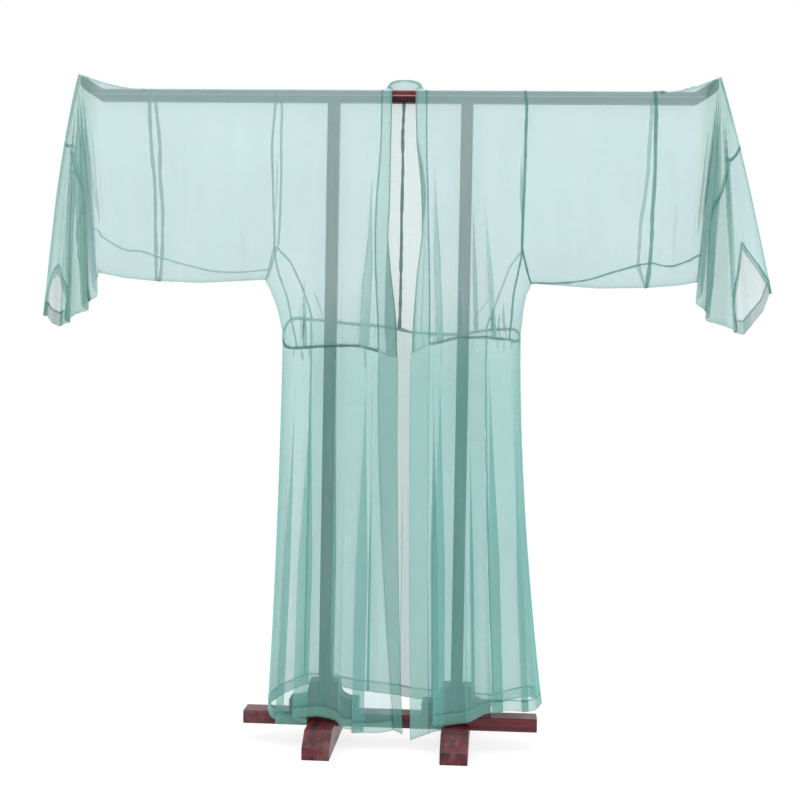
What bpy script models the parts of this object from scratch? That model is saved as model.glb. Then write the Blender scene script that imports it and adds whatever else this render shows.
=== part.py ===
"""A sheer, long-sleeved robe hung by its sleeves on a wooden stand, in metres, +Z up.

X runs to the right as the open front is seen, Y away from the viewer. Positions are given from the
middle of the stand. The stand is moved along X so that the whole object is centred on the origin.
"""
import math

import bmesh
import bpy
import numpy as np
from mathutils import Matrix

# Placing and cloth
STAND_X = -0.0120
WALL = 0.0012
BAND_WALL = 0.0018
SEAM = 0.0003
WAIST_SEAM = 0.0012
CURVED_SEAM = 0.0008
FAN_SEAM = (0.0006, 0.0038)

# Stand
POST = 0.030
POST_X = 0.1675
BEAM_LENGTH = 0.742
BEAM_DEPTH = 0.066
BEAM_BOTTOM = 0.0475
BEAM_TOP = 0.081
BAR_X = -0.0135
BAR_TOP = 1.6480
BAR_HEIGHT = 0.0300
BAR_ROUNDING = 0.005
FOOT_X = 0.1675
FOOT_HALF = 0.186
FOOT_FLAT = 0.135
FOOT_WIDTH = 0.068
FOOT_TOP = 0.063
FOOT_NOSE = 0.0305

# Upturned end of the bar, from its straight part to its tip: x and height above the bar's underside of
# the lower edge, then of the upper edge
BAR_END = (
    (0.7480, 0.0000, 0.7420, BAR_HEIGHT),
    (0.7905, 0.0280, 0.7860, 0.0565),
    (0.8015, 0.0390, 0.8000, 0.0640),
)

# Robe
CLOTH_TOP = BAR_TOP + 0.0013
CENTRE_BACK = 0.0065
ARMHOLE_X = 0.311
SLEEVE_WIDTH = 0.335
SECOND_SEAM = 0.630
CUFF_WIDTH = 0.028
HEM_WIDTH = 0.027
BODY_DEPTH = 0.0200
FLARE = 1.7
FOLD_GROWTH = 1.2

# Faces across and along each kind of cloth piece
BODICE_ACROSS = 12
COLLAR_ACROSS = 3
INNER_ALONG = 5
MIDDLE_ON_BAR = 4
MIDDLE_BEYOND = 6
OUTER_ALONG = 9
SKIRT_ALONG = 9
BAND_ACROSS = 4
BAND_ALONG = 12
GUSSET_ACROSS = 8
GUSSET_UP = 4

SILK = (0.43, 0.73, 0.69, 1.0)
WOOD = (0.10, 0.022, 0.026, 1.0)

# How the cloth falls over the bar: drop below its top, half the depth by the armhole and along the bar
SECTION = (
    (0.0000, 0.0000, 0.0000),
    (0.0000, 0.0100, 0.0100),
    (0.0018, 0.0145, 0.0145),
    (0.0063, 0.0164, 0.0164),
    (0.0350, 0.0170, 0.0168),
    (0.1100, 0.0185, 0.0190),
    (0.1900, 0.0195, 0.0200),
    (0.2700, 0.0200, 0.0185),
    (0.3300, 0.0200, 0.0160),
    (0.3890, 0.0195, 0.0130),
    (0.4200, 0.0175, 0.0110),
    (0.4520, 0.0130, 0.0090),
    (0.4700, 0.0075, 0.0055),
    (0.4780, 0.0000, 0.0000),
)
ARMHOLE_ROW = 9
SLEEVE_START = (0.311, 0.318, 0.326, 0.332, 0.335)

# Depth of the sleeve along the bar: x, height of its lower edge
SLEEVE_BOTTOM = ((0.335, 1.1713), (0.500, 1.1610), (0.620, 1.1640), (0.700, 1.1710), (0.790, 1.1880))

# Below the armhole the bodice runs on to the waist in these parts
WAIST_PARTS = (0.25, 0.50, 0.75, 1.00)

# Waist seam: x, height in front, height behind
WAIST = (
    (-0.300, 0.9990, 1.0790),
    (-0.245, 1.0030, 1.0775),
    (-0.190, 1.0070, 1.0730),
    (-0.130, 1.0100, 1.0660),
    (-0.085, 1.0090, 1.0640),
    (-0.044, 0.9980, 1.0610),
    (0.006, 0.9800, 1.0550),
    (0.040, 0.9930, 1.0470),
    (0.087, 1.0170, 1.0430),
    (0.150, 1.0330, 1.0430),
    (0.220, 1.0370, 1.0540),
    (0.285, 1.0310, 1.0600),
    (0.315, 1.0180, 1.0620),
)

# Edge between gusset and bodice, from armhole to waist: x in front and behind, left side then right
GUSSET_EDGE = {
    -1: ((0.311, 0.311), (0.302, 0.272), (0.279, 0.250), (0.264, 0.231), (0.250, 0.2185)),
    1: ((0.311, 0.311), (0.303, 0.281), (0.292, 0.262), (0.288, 0.243), (0.283, 0.2240)),
}

# Front edges: height, seam of the collar with the left bodice, left opening edge, right ones alike
COLLAR_FRONT = (
    (0.980, -0.0440, 0.0055, 0.0850, 0.0380),
    (1.060, -0.0462, 0.0009, 0.0840, 0.0413),
    (1.120, -0.0500, -0.0060, 0.0830, 0.0450),
    (1.195, -0.0550, -0.0160, 0.0812, 0.0500),
    (1.283, -0.0572, -0.0245, 0.0776, 0.0600),
    (1.350, -0.0565, -0.0215, 0.0755, 0.0590),
    (1.407, -0.0535, -0.0209, 0.0735, 0.0560),
    (1.462, -0.0490, -0.0209, 0.0705, 0.0500),
    (1.514, -0.0468, -0.0209, 0.0690, 0.0430),
    (1.617, -0.0463, -0.0205, 0.0668, 0.0385),
    (1.650, -0.0463, -0.0205, 0.0665, 0.0385),
)

# Collar behind the neck, from the top of the bar to the middle of the back: how far the seam has gone
# from the shoulder to the centre back, then the free edge the same way, its y and its height
COLLAR_BACK = (
    (0.000, 0.00, -0.0020, 1.6530),
    (0.100, -0.30, 0.0090, 1.6690),
    (0.450, 0.30, 0.0170, 1.6785),
    (1.000, 1.00, 0.0205, 1.6800),
)

# Skirt sections, one row for each fold, from the front band round the side to the back seam:
# x and y at the waist, x, y and height at the hem
SKIRT_LEFT = (
    (-0.0443, -0.0200, 0.0140, -0.0600, 0.0500),
    (-0.0680, -0.0200, -0.0300, -0.0740, 0.0420),
    (-0.0900, -0.0200, -0.0720, -0.0500, 0.0425),
    (-0.1120, -0.0200, -0.1050, -0.0760, 0.0515),
    (-0.1340, -0.0200, -0.1330, -0.0520, 0.0660),
    (-0.1570, -0.0200, -0.1600, -0.0720, 0.0765),
    (-0.1800, -0.0200, -0.1870, -0.0540, 0.0775),
    (-0.2040, -0.0200, -0.2130, -0.0700, 0.0720),
    (-0.2270, -0.0200, -0.2390, -0.0500, 0.0550),
    (-0.2500, -0.0200, -0.2830, -0.0620, 0.0630),
    (-0.2790, -0.0130, -0.3040, -0.0440, 0.0860),
    (-0.2880, 0.0000, -0.3080, 0.0000, 0.0920),
    (-0.2620, 0.0175, -0.2780, 0.0560, 0.1050),
    (-0.2185, 0.0200, -0.2265, 0.0520, 0.1300),
)
SKIRT_RIGHT = (
    (0.0853, -0.0200, 0.1030, -0.0640, 0.0450),
    (0.1050, -0.0200, 0.1260, -0.0500, 0.0640),
    (0.1270, -0.0200, 0.1520, -0.0740, 0.0680),
    (0.1490, -0.0200, 0.1790, -0.0500, 0.0720),
    (0.1710, -0.0200, 0.2060, -0.0700, 0.0785),
    (0.1930, -0.0200, 0.2350, -0.0500, 0.0950),
    (0.2150, -0.0200, 0.2650, -0.0720, 0.1065),
    (0.2380, -0.0200, 0.2970, -0.0500, 0.1075),
    (0.2610, -0.0200, 0.3270, -0.0640, 0.1080),
    (0.2830, -0.0200, 0.3540, -0.0560, 0.1085),
    (0.3035, -0.0125, 0.3750, -0.0340, 0.1160),
    (0.3105, 0.0000, 0.3800, 0.0000, 0.1200),
    (0.2850, 0.0175, 0.3420, 0.0580, 0.1150),
    (0.2240, 0.0200, 0.2604, 0.0500, 0.0930),
)
SKIRT_BACK = (
    (-0.2179, 0.0200, -0.2250, 0.0520, 0.1300),
    (-0.1850, 0.0200, -0.1950, 0.0720, 0.1310),
    (-0.1530, 0.0200, -0.1620, 0.0500, 0.1290),
    (-0.1200, 0.0200, -0.1280, 0.0740, 0.1240),
    (-0.0870, 0.0200, -0.0920, 0.0520, 0.1190),
    (-0.0530, 0.0200, -0.0540, 0.0760, 0.1145),
    (-0.0200, 0.0200, -0.0160, 0.0540, 0.1125),
    (0.0150, 0.0200, 0.0230, 0.0740, 0.1065),
    (0.0500, 0.0200, 0.0640, 0.0520, 0.1015),
    (0.0850, 0.0200, 0.1050, 0.0740, 0.0975),
    (0.1200, 0.0200, 0.1450, 0.0500, 0.0950),
    (0.1550, 0.0200, 0.1850, 0.0720, 0.0930),
    (0.1890, 0.0200, 0.2220, 0.0500, 0.0925),
    (0.2234, 0.0200, 0.2590, 0.0500, 0.0930),
)
FRONT_BAND_LEFT = (
    (0.0060, -0.0215, 0.0360, -0.0640, 0.0405),
    (-0.0190, -0.0205, 0.0250, -0.0615, 0.0465),
    (-0.0437, -0.0200, 0.0146, -0.0600, 0.0500),
)
FRONT_BAND_RIGHT = (
    (0.0370, -0.0215, 0.0560, -0.0680, 0.0270),
    (0.0600, -0.0205, 0.0790, -0.0670, 0.0360),
    (0.0847, -0.0200, 0.1024, -0.0640, 0.0450),
)
GUSSET_SKIRT_ROW = 9
GUSSET_TIP = 0.004

# Hanging end of each sleeve, a row for each fold that fans from the tip of the bar: how far the cloth
# has turned from its upper edge (0) to the line under the tip (1), then where that fold ends
FAN_LEFT = (
    (0.00, 0.9030, 0.0000, 1.0710),
    (0.13, 0.8930, -0.0180, 1.0540),
    (0.27, 0.8780, 0.0170, 1.0450),
    (0.40, 0.8620, -0.0200, 1.0490),
    (0.52, 0.8440, 0.0160, 1.0600),
    (0.64, 0.8180, -0.0180, 1.0820),
    (0.76, 0.7900, 0.0150, 1.0960),
    (0.88, 0.7750, -0.0110, 1.1250),
    (1.00, 0.7632, 0.0000, 1.1880),
)
FAN_RIGHT = (
    (0.00, 0.9270, 0.0000, 1.1540),
    (0.13, 0.9130, -0.0180, 1.1110),
    (0.27, 0.8900, 0.0170, 1.0780),
    (0.40, 0.8660, -0.0200, 1.0510),
    (0.52, 0.8400, 0.0160, 1.0600),
    (0.64, 0.8020, -0.0180, 1.0790),
    (0.76, 0.7600, 0.0150, 1.0970),
    (0.88, 0.7520, -0.0110, 1.1300),
    (1.00, 0.7465, 0.0000, 1.1880),
)
# Hanging end: part of its length, share of the depth left there
FAN_DEPTH = ((0.0, 1.00), (0.25, 0.80), (0.60, 0.75), (0.90, 0.95), (1.0, 1.10))
MOUTH_DEPTH = 0.0110
MOUTH_START = 0.75

SIDES = {
    "left": {"sign": -1, "tip_x": 0.8185, "fan": FAN_LEFT, "bulge": 0.013},
    "right": {"sign": 1, "tip_x": 0.7915, "fan": FAN_RIGHT, "bulge": 0.007},
}
TIP_Z = 1.6855
RISE_START = 0.665
RISE_CURVE = 1.5


def clear_scene():
    for thing in list(bpy.data.objects):
        bpy.data.objects.remove(thing, do_unlink=True)


def make_material(name, colour, roughness):
    material = bpy.data.materials.new(name)
    material.use_nodes = True
    shader = material.node_tree.nodes["Principled BSDF"]
    shader.inputs["Base Color"].default_value = colour
    shader.inputs["Roughness"].default_value = roughness
    return material


def lerp(start, end, part):
    return start + (end - start) * part


def column(rows, key, value, at):
    """Value in one column of a table where another column, which rises, has the given number."""
    return float(np.interp(at, [row[key] for row in rows], [row[value] for row in rows]))


def smooth_row(rows, part):
    """All columns of a table at a part of its length, on a smooth curve through its rows."""
    place = min(max(part, 0.0), 1.0) * (len(rows) - 1)
    first = min(int(place), len(rows) - 2)
    t = place - first
    before, start, end, after = (
        np.array(rows[min(max(first + step, 0), len(rows) - 1)]) for step in (-1, 0, 1, 2)
    )
    slope_in = (end - before) / 2
    slope_out = (after - start) / 2
    return (
        (2 * t**3 - 3 * t**2 + 1) * start
        + (t**3 - 2 * t**2 + t) * slope_in
        + (3 * t**2 - 2 * t**3) * end
        + (t**3 - t**2) * slope_out
    )


def place(obj, collection, parent):
    collection.objects.link(obj)
    obj.parent = parent


def add_cloth(name, across, along, shape, wall=WALL, tube=False):
    """A sheet with its points moved by shape(u, v), thickened to the wall of the cloth."""
    bm = bmesh.new()
    bmesh.ops.create_grid(bm, x_segments=across, y_segments=along, size=0.5)
    for vert in bm.verts:
        vert.co = shape(vert.co.x + 0.5, vert.co.y + 0.5)
    if tube:
        bmesh.ops.remove_doubles(bm, verts=bm.verts, dist=0.00001)
    mesh = bpy.data.meshes.new(name)
    bm.to_mesh(mesh)
    bm.free()
    mesh.shade_smooth()
    mesh.materials.append(silk)
    cloth = bpy.data.objects.new(name, mesh)
    solidify = cloth.modifiers.new("wall", "SOLIDIFY")
    solidify.thickness = wall
    solidify.offset = 0.0
    place(cloth, robe, middle)
    return cloth


# Bodice

def body_rows(behind):
    """Rows of the bodice from the top of the bar to the waist: share of the waist part, drop, depth."""
    side = 1 if behind else -1
    upper = [(0.0, drop, side * depth) for drop, depth, _ in SECTION[: ARMHOLE_ROW + 1]]
    lower = [(part, SECTION[ARMHOLE_ROW][0], side * BODY_DEPTH) for part in WAIST_PARTS]
    return upper + lower


def outer_edge(sign, row, behind):
    if row <= ARMHOLE_ROW:
        return ARMHOLE_X
    return GUSSET_EDGE[sign][row - ARMHOLE_ROW][1 if behind else 0]


def waist_height(x, y):
    front = column(WAIST, 0, 1, x)
    back = column(WAIST, 0, 2, x)
    share = min(max((y + BODY_DEPTH) / (2 * BODY_DEPTH), 0.0), 1.0)
    return lerp(front, back, share * share * (3 - 2 * share))


def neck_edge(sign, row, behind):
    """x of the bodice's edge at the collar or, behind, at the seam down the centre back."""
    seam_column = 1 if sign < 0 else 3
    shoulder = COLLAR_FRONT[-1][seam_column]
    if not behind:
        part, drop, _ = body_rows(False)[row]
        height = CLOTH_TOP - drop
        height = lerp(height, waist_height(shoulder, -BODY_DEPTH), part)
        return column(COLLAR_FRONT, 0, seam_column, height)
    centre = CENTRE_BACK + sign * SEAM / 2
    return lerp(shoulder, centre, (0.0, 0.10, 0.45)[row]) if row < 3 else centre


def body_point(sign, row, behind, x):
    part, drop, y = body_rows(behind)[row]
    seam_height = waist_height(x, math.copysign(BODY_DEPTH, y)) + WAIST_SEAM / 2
    return x, y, lerp(CLOTH_TOP - drop, seam_height, part)


def bodice_shape(sign):
    last = len(body_rows(False)) - 1

    def shape(u, v):
        step = round(v * 2 * last) - last
        row, behind = abs(step), step > 0
        inner = neck_edge(sign, row, behind)
        outer = sign * (outer_edge(sign, row, behind) - SEAM / 2)
        return body_point(sign, row, behind, lerp(inner, outer, u))

    return shape


def add_bodices():
    along = 2 * (len(body_rows(False)) - 1)
    for name, side in SIDES.items():
        add_cloth("bodice_" + name, BODICE_ACROSS, along, bodice_shape(side["sign"]))


# Collar

def collar_rows():
    """Pairs of points, seam edge and free edge, from the left waist round the neck to the right."""
    pairs = {-1: [], 1: []}
    for sign, free_column in ((-1, 2), (1, 4)):
        last = len(body_rows(False)) - 1
        for row in range(last, 1, -1):
            x, y, z = body_point(sign, row, False, neck_edge(sign, row, False))
            free_x = column(COLLAR_FRONT, 0, free_column, z)
            free_z = waist_height(free_x, -BODY_DEPTH) + WAIST_SEAM / 2 if row == last else z
            pairs[sign].append(((x - sign * CURVED_SEAM, y, z), (free_x, y - 0.0015, free_z)))
        shoulder = neck_edge(sign, 0, False)
        free_shoulder = COLLAR_FRONT[-1][free_column]
        for row, (seam_part, free_part, free_y, free_z) in enumerate(COLLAR_BACK):
            drop, y, _ = SECTION[row]
            seam_x = lerp(shoulder, CENTRE_BACK, seam_part) - sign * CURVED_SEAM * (seam_part < 1)
            free_x = lerp(free_shoulder, CENTRE_BACK, free_part)
            seam = (seam_x, y, CLOTH_TOP - drop + CURVED_SEAM * 2)
            pairs[sign].append((seam, (free_x, free_y, free_z)))
    return pairs[-1] + pairs[1][-2::-1]


def add_collar():
    rows = collar_rows()

    def shape(u, v):
        seam, free = rows[round(v * (len(rows) - 1))]
        return tuple(lerp(start, end, u) for start, end in zip(seam, free))

    add_cloth("collar_band", COLLAR_ACROSS, len(rows) - 1, shape)


# Sleeves

def sleeve_ring(u):
    """Row of the section and side (-1 front, 1 back) at a part of the way round a sleeve."""
    last = len(SECTION) - 1
    step = round(u * 2 * last)
    return (step, -1) if step <= last else (2 * last - step, 1)


def on_bar(side, row, facing, along):
    """A point of the part of the sleeve on the bar, from the armhole (0) to the tip (1)."""
    drop, depth_armhole, depth_bar = SECTION[row]
    start_x = SLEEVE_START[max(row - ARMHOLE_ROW, 0)]
    depth = drop / SECTION[-1][0]
    tip_x = lerp(side["tip_x"], side["fan"][-1][1], depth)
    x = lerp(start_x, tip_x, along)
    risen = max(0.0, (x - RISE_START) / (tip_x - RISE_START))
    top = lerp(CLOTH_TOP, TIP_Z, risen**RISE_CURVE)
    bottom = column(SLEEVE_BOTTOM, 0, 1, x)
    half_depth = lerp(depth_armhole, depth_bar, min(along * 3, 1.0))
    return side["sign"] * x, facing * half_depth, lerp(top, bottom, depth)


def on_fan(side, row, facing, beyond, length):
    """A point of the hanging part, where beyond is the distance along the sleeve past the tip."""
    drop, _, half_depth = SECTION[row]
    down = drop / SECTION[-1][0]
    out = beyond / length
    reach = max(out, down)
    turn = math.atan2(down, out) / (math.pi / 2) if reach > 0 else 1.0
    foot = [column(side["fan"], 0, place_column, turn) for place_column in (1, 2, 3)]
    bulge = side["bulge"] * math.sin(math.pi * reach**0.8) * (1 - turn)
    x = lerp(side["tip_x"], foot[0], reach) + bulge
    z = lerp(TIP_Z, foot[2], reach)
    depth = half_depth * column(FAN_DEPTH, 0, 1, out)
    opened = max(0.0, out - MOUTH_START) / (1 - MOUTH_START)
    mouth = MOUTH_DEPTH * opened * math.sin(math.pi * down)
    return side["sign"] * x, foot[1] * reach + facing * (depth + mouth), z


def fan_seam(row):
    """Half the seam's gap, measured along the sleeve: wider low down, where the folds close it up."""
    return lerp(*FAN_SEAM, SECTION[row][0] / SECTION[-1][0])


def add_sleeves():
    ring = 2 * (len(SECTION) - 1)
    for name, side in SIDES.items():
        second = (SECOND_SEAM - ARMHOLE_X) / (side["tip_x"] - ARMHOLE_X)
        gap = SEAM / (side["tip_x"] - ARMHOLE_X)
        third = SLEEVE_WIDTH - (side["tip_x"] - SECOND_SEAM)
        cuff = third + SLEEVE_WIDTH
        length = cuff + CUFF_WIDTH

        def inner(u, v):
            row, facing = sleeve_ring(u)
            return on_bar(side, row, facing, lerp(gap, second - gap / 2, v))

        def middle_width(u, v):
            row, facing = sleeve_ring(u)
            step = v * (MIDDLE_ON_BAR + MIDDLE_BEYOND)
            if step <= MIDDLE_ON_BAR:
                along = lerp(second + gap / 2, 1.0, step / MIDDLE_ON_BAR)
                return on_bar(side, row, facing, along)
            beyond = (third - fan_seam(row)) * (step - MIDDLE_ON_BAR) / MIDDLE_BEYOND
            return on_fan(side, row, facing, beyond, length)

        def outer(u, v):
            row, facing = sleeve_ring(u)
            beyond = lerp(third + fan_seam(row), cuff - fan_seam(row), v)
            return on_fan(side, row, facing, beyond, length)

        def cuff_band(u, v):
            row, facing = sleeve_ring(u)
            return on_fan(side, row, facing, lerp(cuff + fan_seam(row), length, v), length)

        add_cloth("sleeve_inner_" + name, ring, INNER_ALONG, inner, tube=True)
        middle_along = MIDDLE_ON_BAR + MIDDLE_BEYOND
        add_cloth("sleeve_middle_" + name, ring, middle_along, middle_width, tube=True)
        add_cloth("sleeve_outer_" + name, ring, OUTER_ALONG, outer, tube=True)
        add_cloth("cuff_" + name, ring, 1, cuff_band, tube=True)


# Skirt

def skirt_point(row_values, t):
    """A point of the skirt, t running from the waist seam (0) to the hem (1)."""
    waist_x, waist_y, hem_x, hem_y, hem_z = row_values
    x = lerp(waist_x, hem_x, t**FLARE)
    y = lerp(waist_y, hem_y, t**FOLD_GROWTH)
    z = lerp(waist_height(waist_x, waist_y) - WAIST_SEAM / 2, hem_z, t)
    return x, y, z


def skirt_shape(rows, start, end):
    """start and end are lengths of cloth left below the panel's upper and lower edges."""
    def shape(u, v):
        values = smooth_row(rows, 1 - u)
        fall = waist_height(values[0], values[1]) - values[4]
        top = 0.0 if start is None else 1 - start / fall
        bottom = 1 - end / fall
        return skirt_point(values, lerp(bottom, top, v))
    return shape


def add_skirt():
    for name, rows in (("left", SKIRT_LEFT), ("right", SKIRT_RIGHT), ("back", SKIRT_BACK)):
        across = 2 * (len(rows) - 1)
        add_cloth("skirt_" + name, across, SKIRT_ALONG, skirt_shape(rows, None, HEM_WIDTH))
        hem = skirt_shape(rows, HEM_WIDTH - CURVED_SEAM, 0.0)
        add_cloth("hem_" + name, across, 1, hem, wall=BAND_WALL)
    for name, rows in (("left", FRONT_BAND_LEFT), ("right", FRONT_BAND_RIGHT)):
        band = skirt_shape(rows, None, 0.0)
        add_cloth("front_band_" + name, BAND_ACROSS, BAND_ALONG, band, wall=BAND_WALL)


# Gussets

def gusset_edges(name, side):
    """The four edges of a gusset: lower, upper, front and back, each a list of points."""
    sign = side["sign"]
    rows = SKIRT_LEFT if name == "left" else SKIRT_RIGHT
    first = GUSSET_SKIRT_ROW / (len(rows) - 1)
    lower, upper, front, back = [], [], [], []
    for step in range(GUSSET_ACROSS + 1):
        waist_x, waist_y = smooth_row(rows, lerp(first, 1.0, step / GUSSET_ACROSS))[:2]
        lower.append(np.array((waist_x, waist_y, waist_height(waist_x, waist_y) + WAIST_SEAM / 2)))
        row = ARMHOLE_ROW + GUSSET_ACROSS // 2 - abs(step - GUSSET_ACROSS // 2)
        facing = -1 if step <= GUSSET_ACROSS // 2 else 1
        x, y, z = on_bar(side, row, facing, 0.0)
        upper.append(np.array((x - sign * CURVED_SEAM, y, z - CURVED_SEAM)))
    for step in range(GUSSET_UP + 1):
        row = ARMHOLE_ROW + GUSSET_UP - step
        for behind, edge in ((False, front), (True, back)):
            x = sign * (outer_edge(sign, row, behind) + CURVED_SEAM)
            edge.append(np.array(body_point(sign, row, behind, x)))
    for edge in (front, back):
        edge[-1] = edge[-1] - (sign * CURVED_SEAM, 0.0, GUSSET_TIP)
    lower[0], lower[-1], upper[0], upper[-1] = front[0], back[0], front[-1], back[-1]
    return lower, upper, front, back


def add_gussets():
    for name, side in SIDES.items():
        lower, upper, front, back = gusset_edges(name, side)

        def shape(u, v):
            across, up = round(u * GUSSET_ACROSS), round(v * GUSSET_UP)
            ruled = lerp(lower[across], upper[across], v) + lerp(front[up], back[up], u)
            corners = lerp(lerp(lower[0], lower[-1], u), lerp(upper[0], upper[-1], u), v)
            return ruled - corners

        add_cloth("gusset_" + name, GUSSET_ACROSS, GUSSET_UP, shape)


# Stand

def add_block(name, size, centre, bevel):
    bpy.ops.mesh.primitive_cube_add(size=1.0)
    block = bpy.context.object
    block.name = name
    block.data.name = name
    block.data.transform(Matrix.Diagonal((*size, 1.0)))
    block.location = centre
    finish_wood(block, bevel)
    return block


def finish_wood(block, bevel):
    block.data.materials.append(wood)
    soften = block.modifiers.new("edges", "BEVEL")
    soften.width = bevel
    soften.segments = 2
    soften.limit_method = "ANGLE"
    for collection in list(block.users_collection):
        collection.objects.unlink(block)
    place(block, stand, middle)


def add_board(name, outline, thickness, centre, turned, bevel):
    """A flat outline cut from board: seen from the front, or from the side when it is turned."""
    curve = bpy.data.curves.new(name, "CURVE")
    curve.dimensions = "2D"
    curve.fill_mode = "BOTH"
    curve.extrude = thickness / 2
    spline = curve.splines.new("POLY")
    spline.points.add(len(outline) - 1)
    for point, (across, up) in zip(spline.points, outline):
        point.co = (across, up, 0.0, 1.0)
    spline.use_cyclic_u = True
    board = bpy.data.objects.new(name, curve)
    board.rotation_euler = (math.pi / 2, 0.0, math.pi / 2 if turned else 0.0)
    board.location = centre
    weld = board.modifiers.new("weld", "WELD")
    weld.merge_threshold = 0.00001
    flatten = board.modifiers.new("flat faces", "DECIMATE")
    flatten.decimate_type = "DISSOLVE"
    flatten.angle_limit = math.radians(1.0)
    finish_wood(board, bevel)
    return board


def bar_outline():
    """Straight bar with a mitred piece at each end that slants up to a blunt tip."""
    bottom = BAR_TOP - BAR_HEIGHT
    below = [(x, bottom + up) for x, up, _, _ in BAR_END]
    above = [(x, bottom + up) for _, _, x, up in reversed(BAR_END)]
    right = below + above
    left = [(-x, z) for x, z in reversed(right)]
    return right + left


def spandrel_outline(sign):
    """Stepped bracket beside a post: a low base, then a hollow curve up to a narrow top."""
    inner = POST / 2 + SEAM
    base = BEAM_TOP + SEAM
    outline = [(inner, base), (0.087, base), (0.087, base + 0.032), (0.060, base + 0.033)]
    for step in range(5):
        angle = step / 4 * math.pi / 2
        outline.append((0.058 - 0.019 * math.sin(angle), base + 0.060 - 0.024 * math.cos(angle)))
    outline += [(0.037, base + 0.076), (inner, base + 0.076)]
    return [(sign * x, z) for x, z in outline]


def foot_outline():
    """Side view of a foot: flat top, bevelled noses and a slot that the beam is let into."""
    slot = BEAM_DEPTH / 2 + SEAM
    seat = BEAM_BOTTOM - SEAM
    half = [(0.0, seat), (slot, seat), (slot, FOOT_TOP), (FOOT_FLAT, FOOT_TOP)]
    half += [(FOOT_HALF, FOOT_NOSE), (FOOT_HALF, 0.0)]
    return half + [(-y, z) for y, z in reversed(half[1:])]


def add_stand():
    add_board("crossbar", bar_outline(), POST, (BAR_X, 0.0, 0.0), False, BAR_ROUNDING)
    beam_middle = (BEAM_BOTTOM + BEAM_TOP) / 2
    beam_size = (BEAM_LENGTH, BEAM_DEPTH, BEAM_TOP - BEAM_BOTTOM)
    add_block("base_beam", beam_size, (0.0, 0.0, beam_middle), 0.0020)
    post_bottom = BEAM_TOP + SEAM
    post_top = BAR_TOP - BAR_HEIGHT - SEAM
    post_size = (POST, POST, post_top - post_bottom)
    for name, sign in (("left", -1), ("right", 1)):
        post_centre = (sign * POST_X, 0.0, (post_top + post_bottom) / 2)
        add_block("post_" + name, post_size, post_centre, 0.0020)
        for facing, side in (("outer", sign), ("inner", -sign)):
            outline = spandrel_outline(side)
            spandrel = "spandrel_" + name + "_" + facing
            add_board(spandrel, outline, BEAM_DEPTH, (sign * POST_X, 0.0, 0.0), False, 0.0015)
        add_board("foot_" + name, foot_outline(), FOOT_WIDTH, (sign * FOOT_X, 0.0, 0.0), True, 0.0020)


clear_scene()
silk = make_material("silk_gauze", SILK, 0.55)
wood = make_material("dark_wood", WOOD, 0.45)
robe = bpy.data.collections.new("hanfu_robe_on_stand")
stand = bpy.data.collections.new("stand")
bpy.context.scene.collection.children.link(robe)
robe.children.link(stand)
middle = bpy.data.objects.new("stand_middle", None)
middle.location = (STAND_X, 0.0, 0.0)
robe.objects.link(middle)
add_bodices()
add_collar()
add_sleeves()
add_skirt()
add_gussets()
add_stand()
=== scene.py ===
import math

import bpy
import numpy as np
from mathutils import Matrix, Vector, noise


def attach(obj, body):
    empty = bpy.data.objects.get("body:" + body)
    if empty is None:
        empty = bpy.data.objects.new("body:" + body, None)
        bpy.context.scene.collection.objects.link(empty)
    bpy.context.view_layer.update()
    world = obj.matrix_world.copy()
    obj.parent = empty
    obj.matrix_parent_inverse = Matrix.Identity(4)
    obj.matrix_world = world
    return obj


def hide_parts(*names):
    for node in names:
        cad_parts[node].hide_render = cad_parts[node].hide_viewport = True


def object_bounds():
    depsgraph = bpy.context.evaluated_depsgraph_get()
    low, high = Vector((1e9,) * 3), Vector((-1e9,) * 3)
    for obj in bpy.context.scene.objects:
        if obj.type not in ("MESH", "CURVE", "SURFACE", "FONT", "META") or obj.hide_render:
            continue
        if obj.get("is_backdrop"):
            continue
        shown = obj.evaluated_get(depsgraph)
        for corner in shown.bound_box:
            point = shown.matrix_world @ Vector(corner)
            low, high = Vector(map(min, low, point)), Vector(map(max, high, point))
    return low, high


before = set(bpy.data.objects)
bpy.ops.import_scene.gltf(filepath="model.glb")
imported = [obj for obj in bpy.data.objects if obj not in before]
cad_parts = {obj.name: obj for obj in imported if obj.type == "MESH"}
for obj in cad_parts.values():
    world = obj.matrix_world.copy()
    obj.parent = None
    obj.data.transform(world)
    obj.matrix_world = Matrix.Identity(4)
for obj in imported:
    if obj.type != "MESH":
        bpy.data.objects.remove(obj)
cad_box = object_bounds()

# The stand
# A garment stand of planed hardwood: two square posts on a flat beam, two cross feet, stepped brackets
# beside the posts and a bar with upturned ends. Stained dark red-brown and varnished, with pale rubbed
# patches. Along the bar's front a pale line is a painted highlight, and below it the bar is darkened as painted
# shade.
WOOD_DARK = (0.014, 0.003, 0.005, 1.0)
WOOD_RED = (0.125, 0.013, 0.019, 1.0)
# Pale colour of the rubbed patches, also used for the painted highlight line on the bar
WOOD_WORN_AND_HIGHLIGHT = (0.300, 0.170, 0.165, 1.0)
WOOD_SCUFFED = (0.115, 0.082, 0.090, 1.0)
GRAIN_SCALE = 42.0
GRAIN_STRETCH = 0.045
WEAR_SCALE = 16.0
# Height of the painted highlight line along the bar's front, with painted shade below it, and how far either
# side of it the colours blend
BAR_PAINTED_HIGHLIGHT = 1.6345
PAINTED_LIGHT_REACH = 0.015


def add_node(tree, kind, inputs=(), **settings):
    """A node with its settings, and its inputs linked or set by name or number."""
    node = tree.nodes.new(kind)
    for setting, value in settings.items():
        setattr(node, setting, value)
    for socket, value in inputs:
        if isinstance(value, bpy.types.NodeSocket):
            tree.links.new(value, node.inputs[socket])
        else:
            node.inputs[socket].default_value = value
    return node


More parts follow.
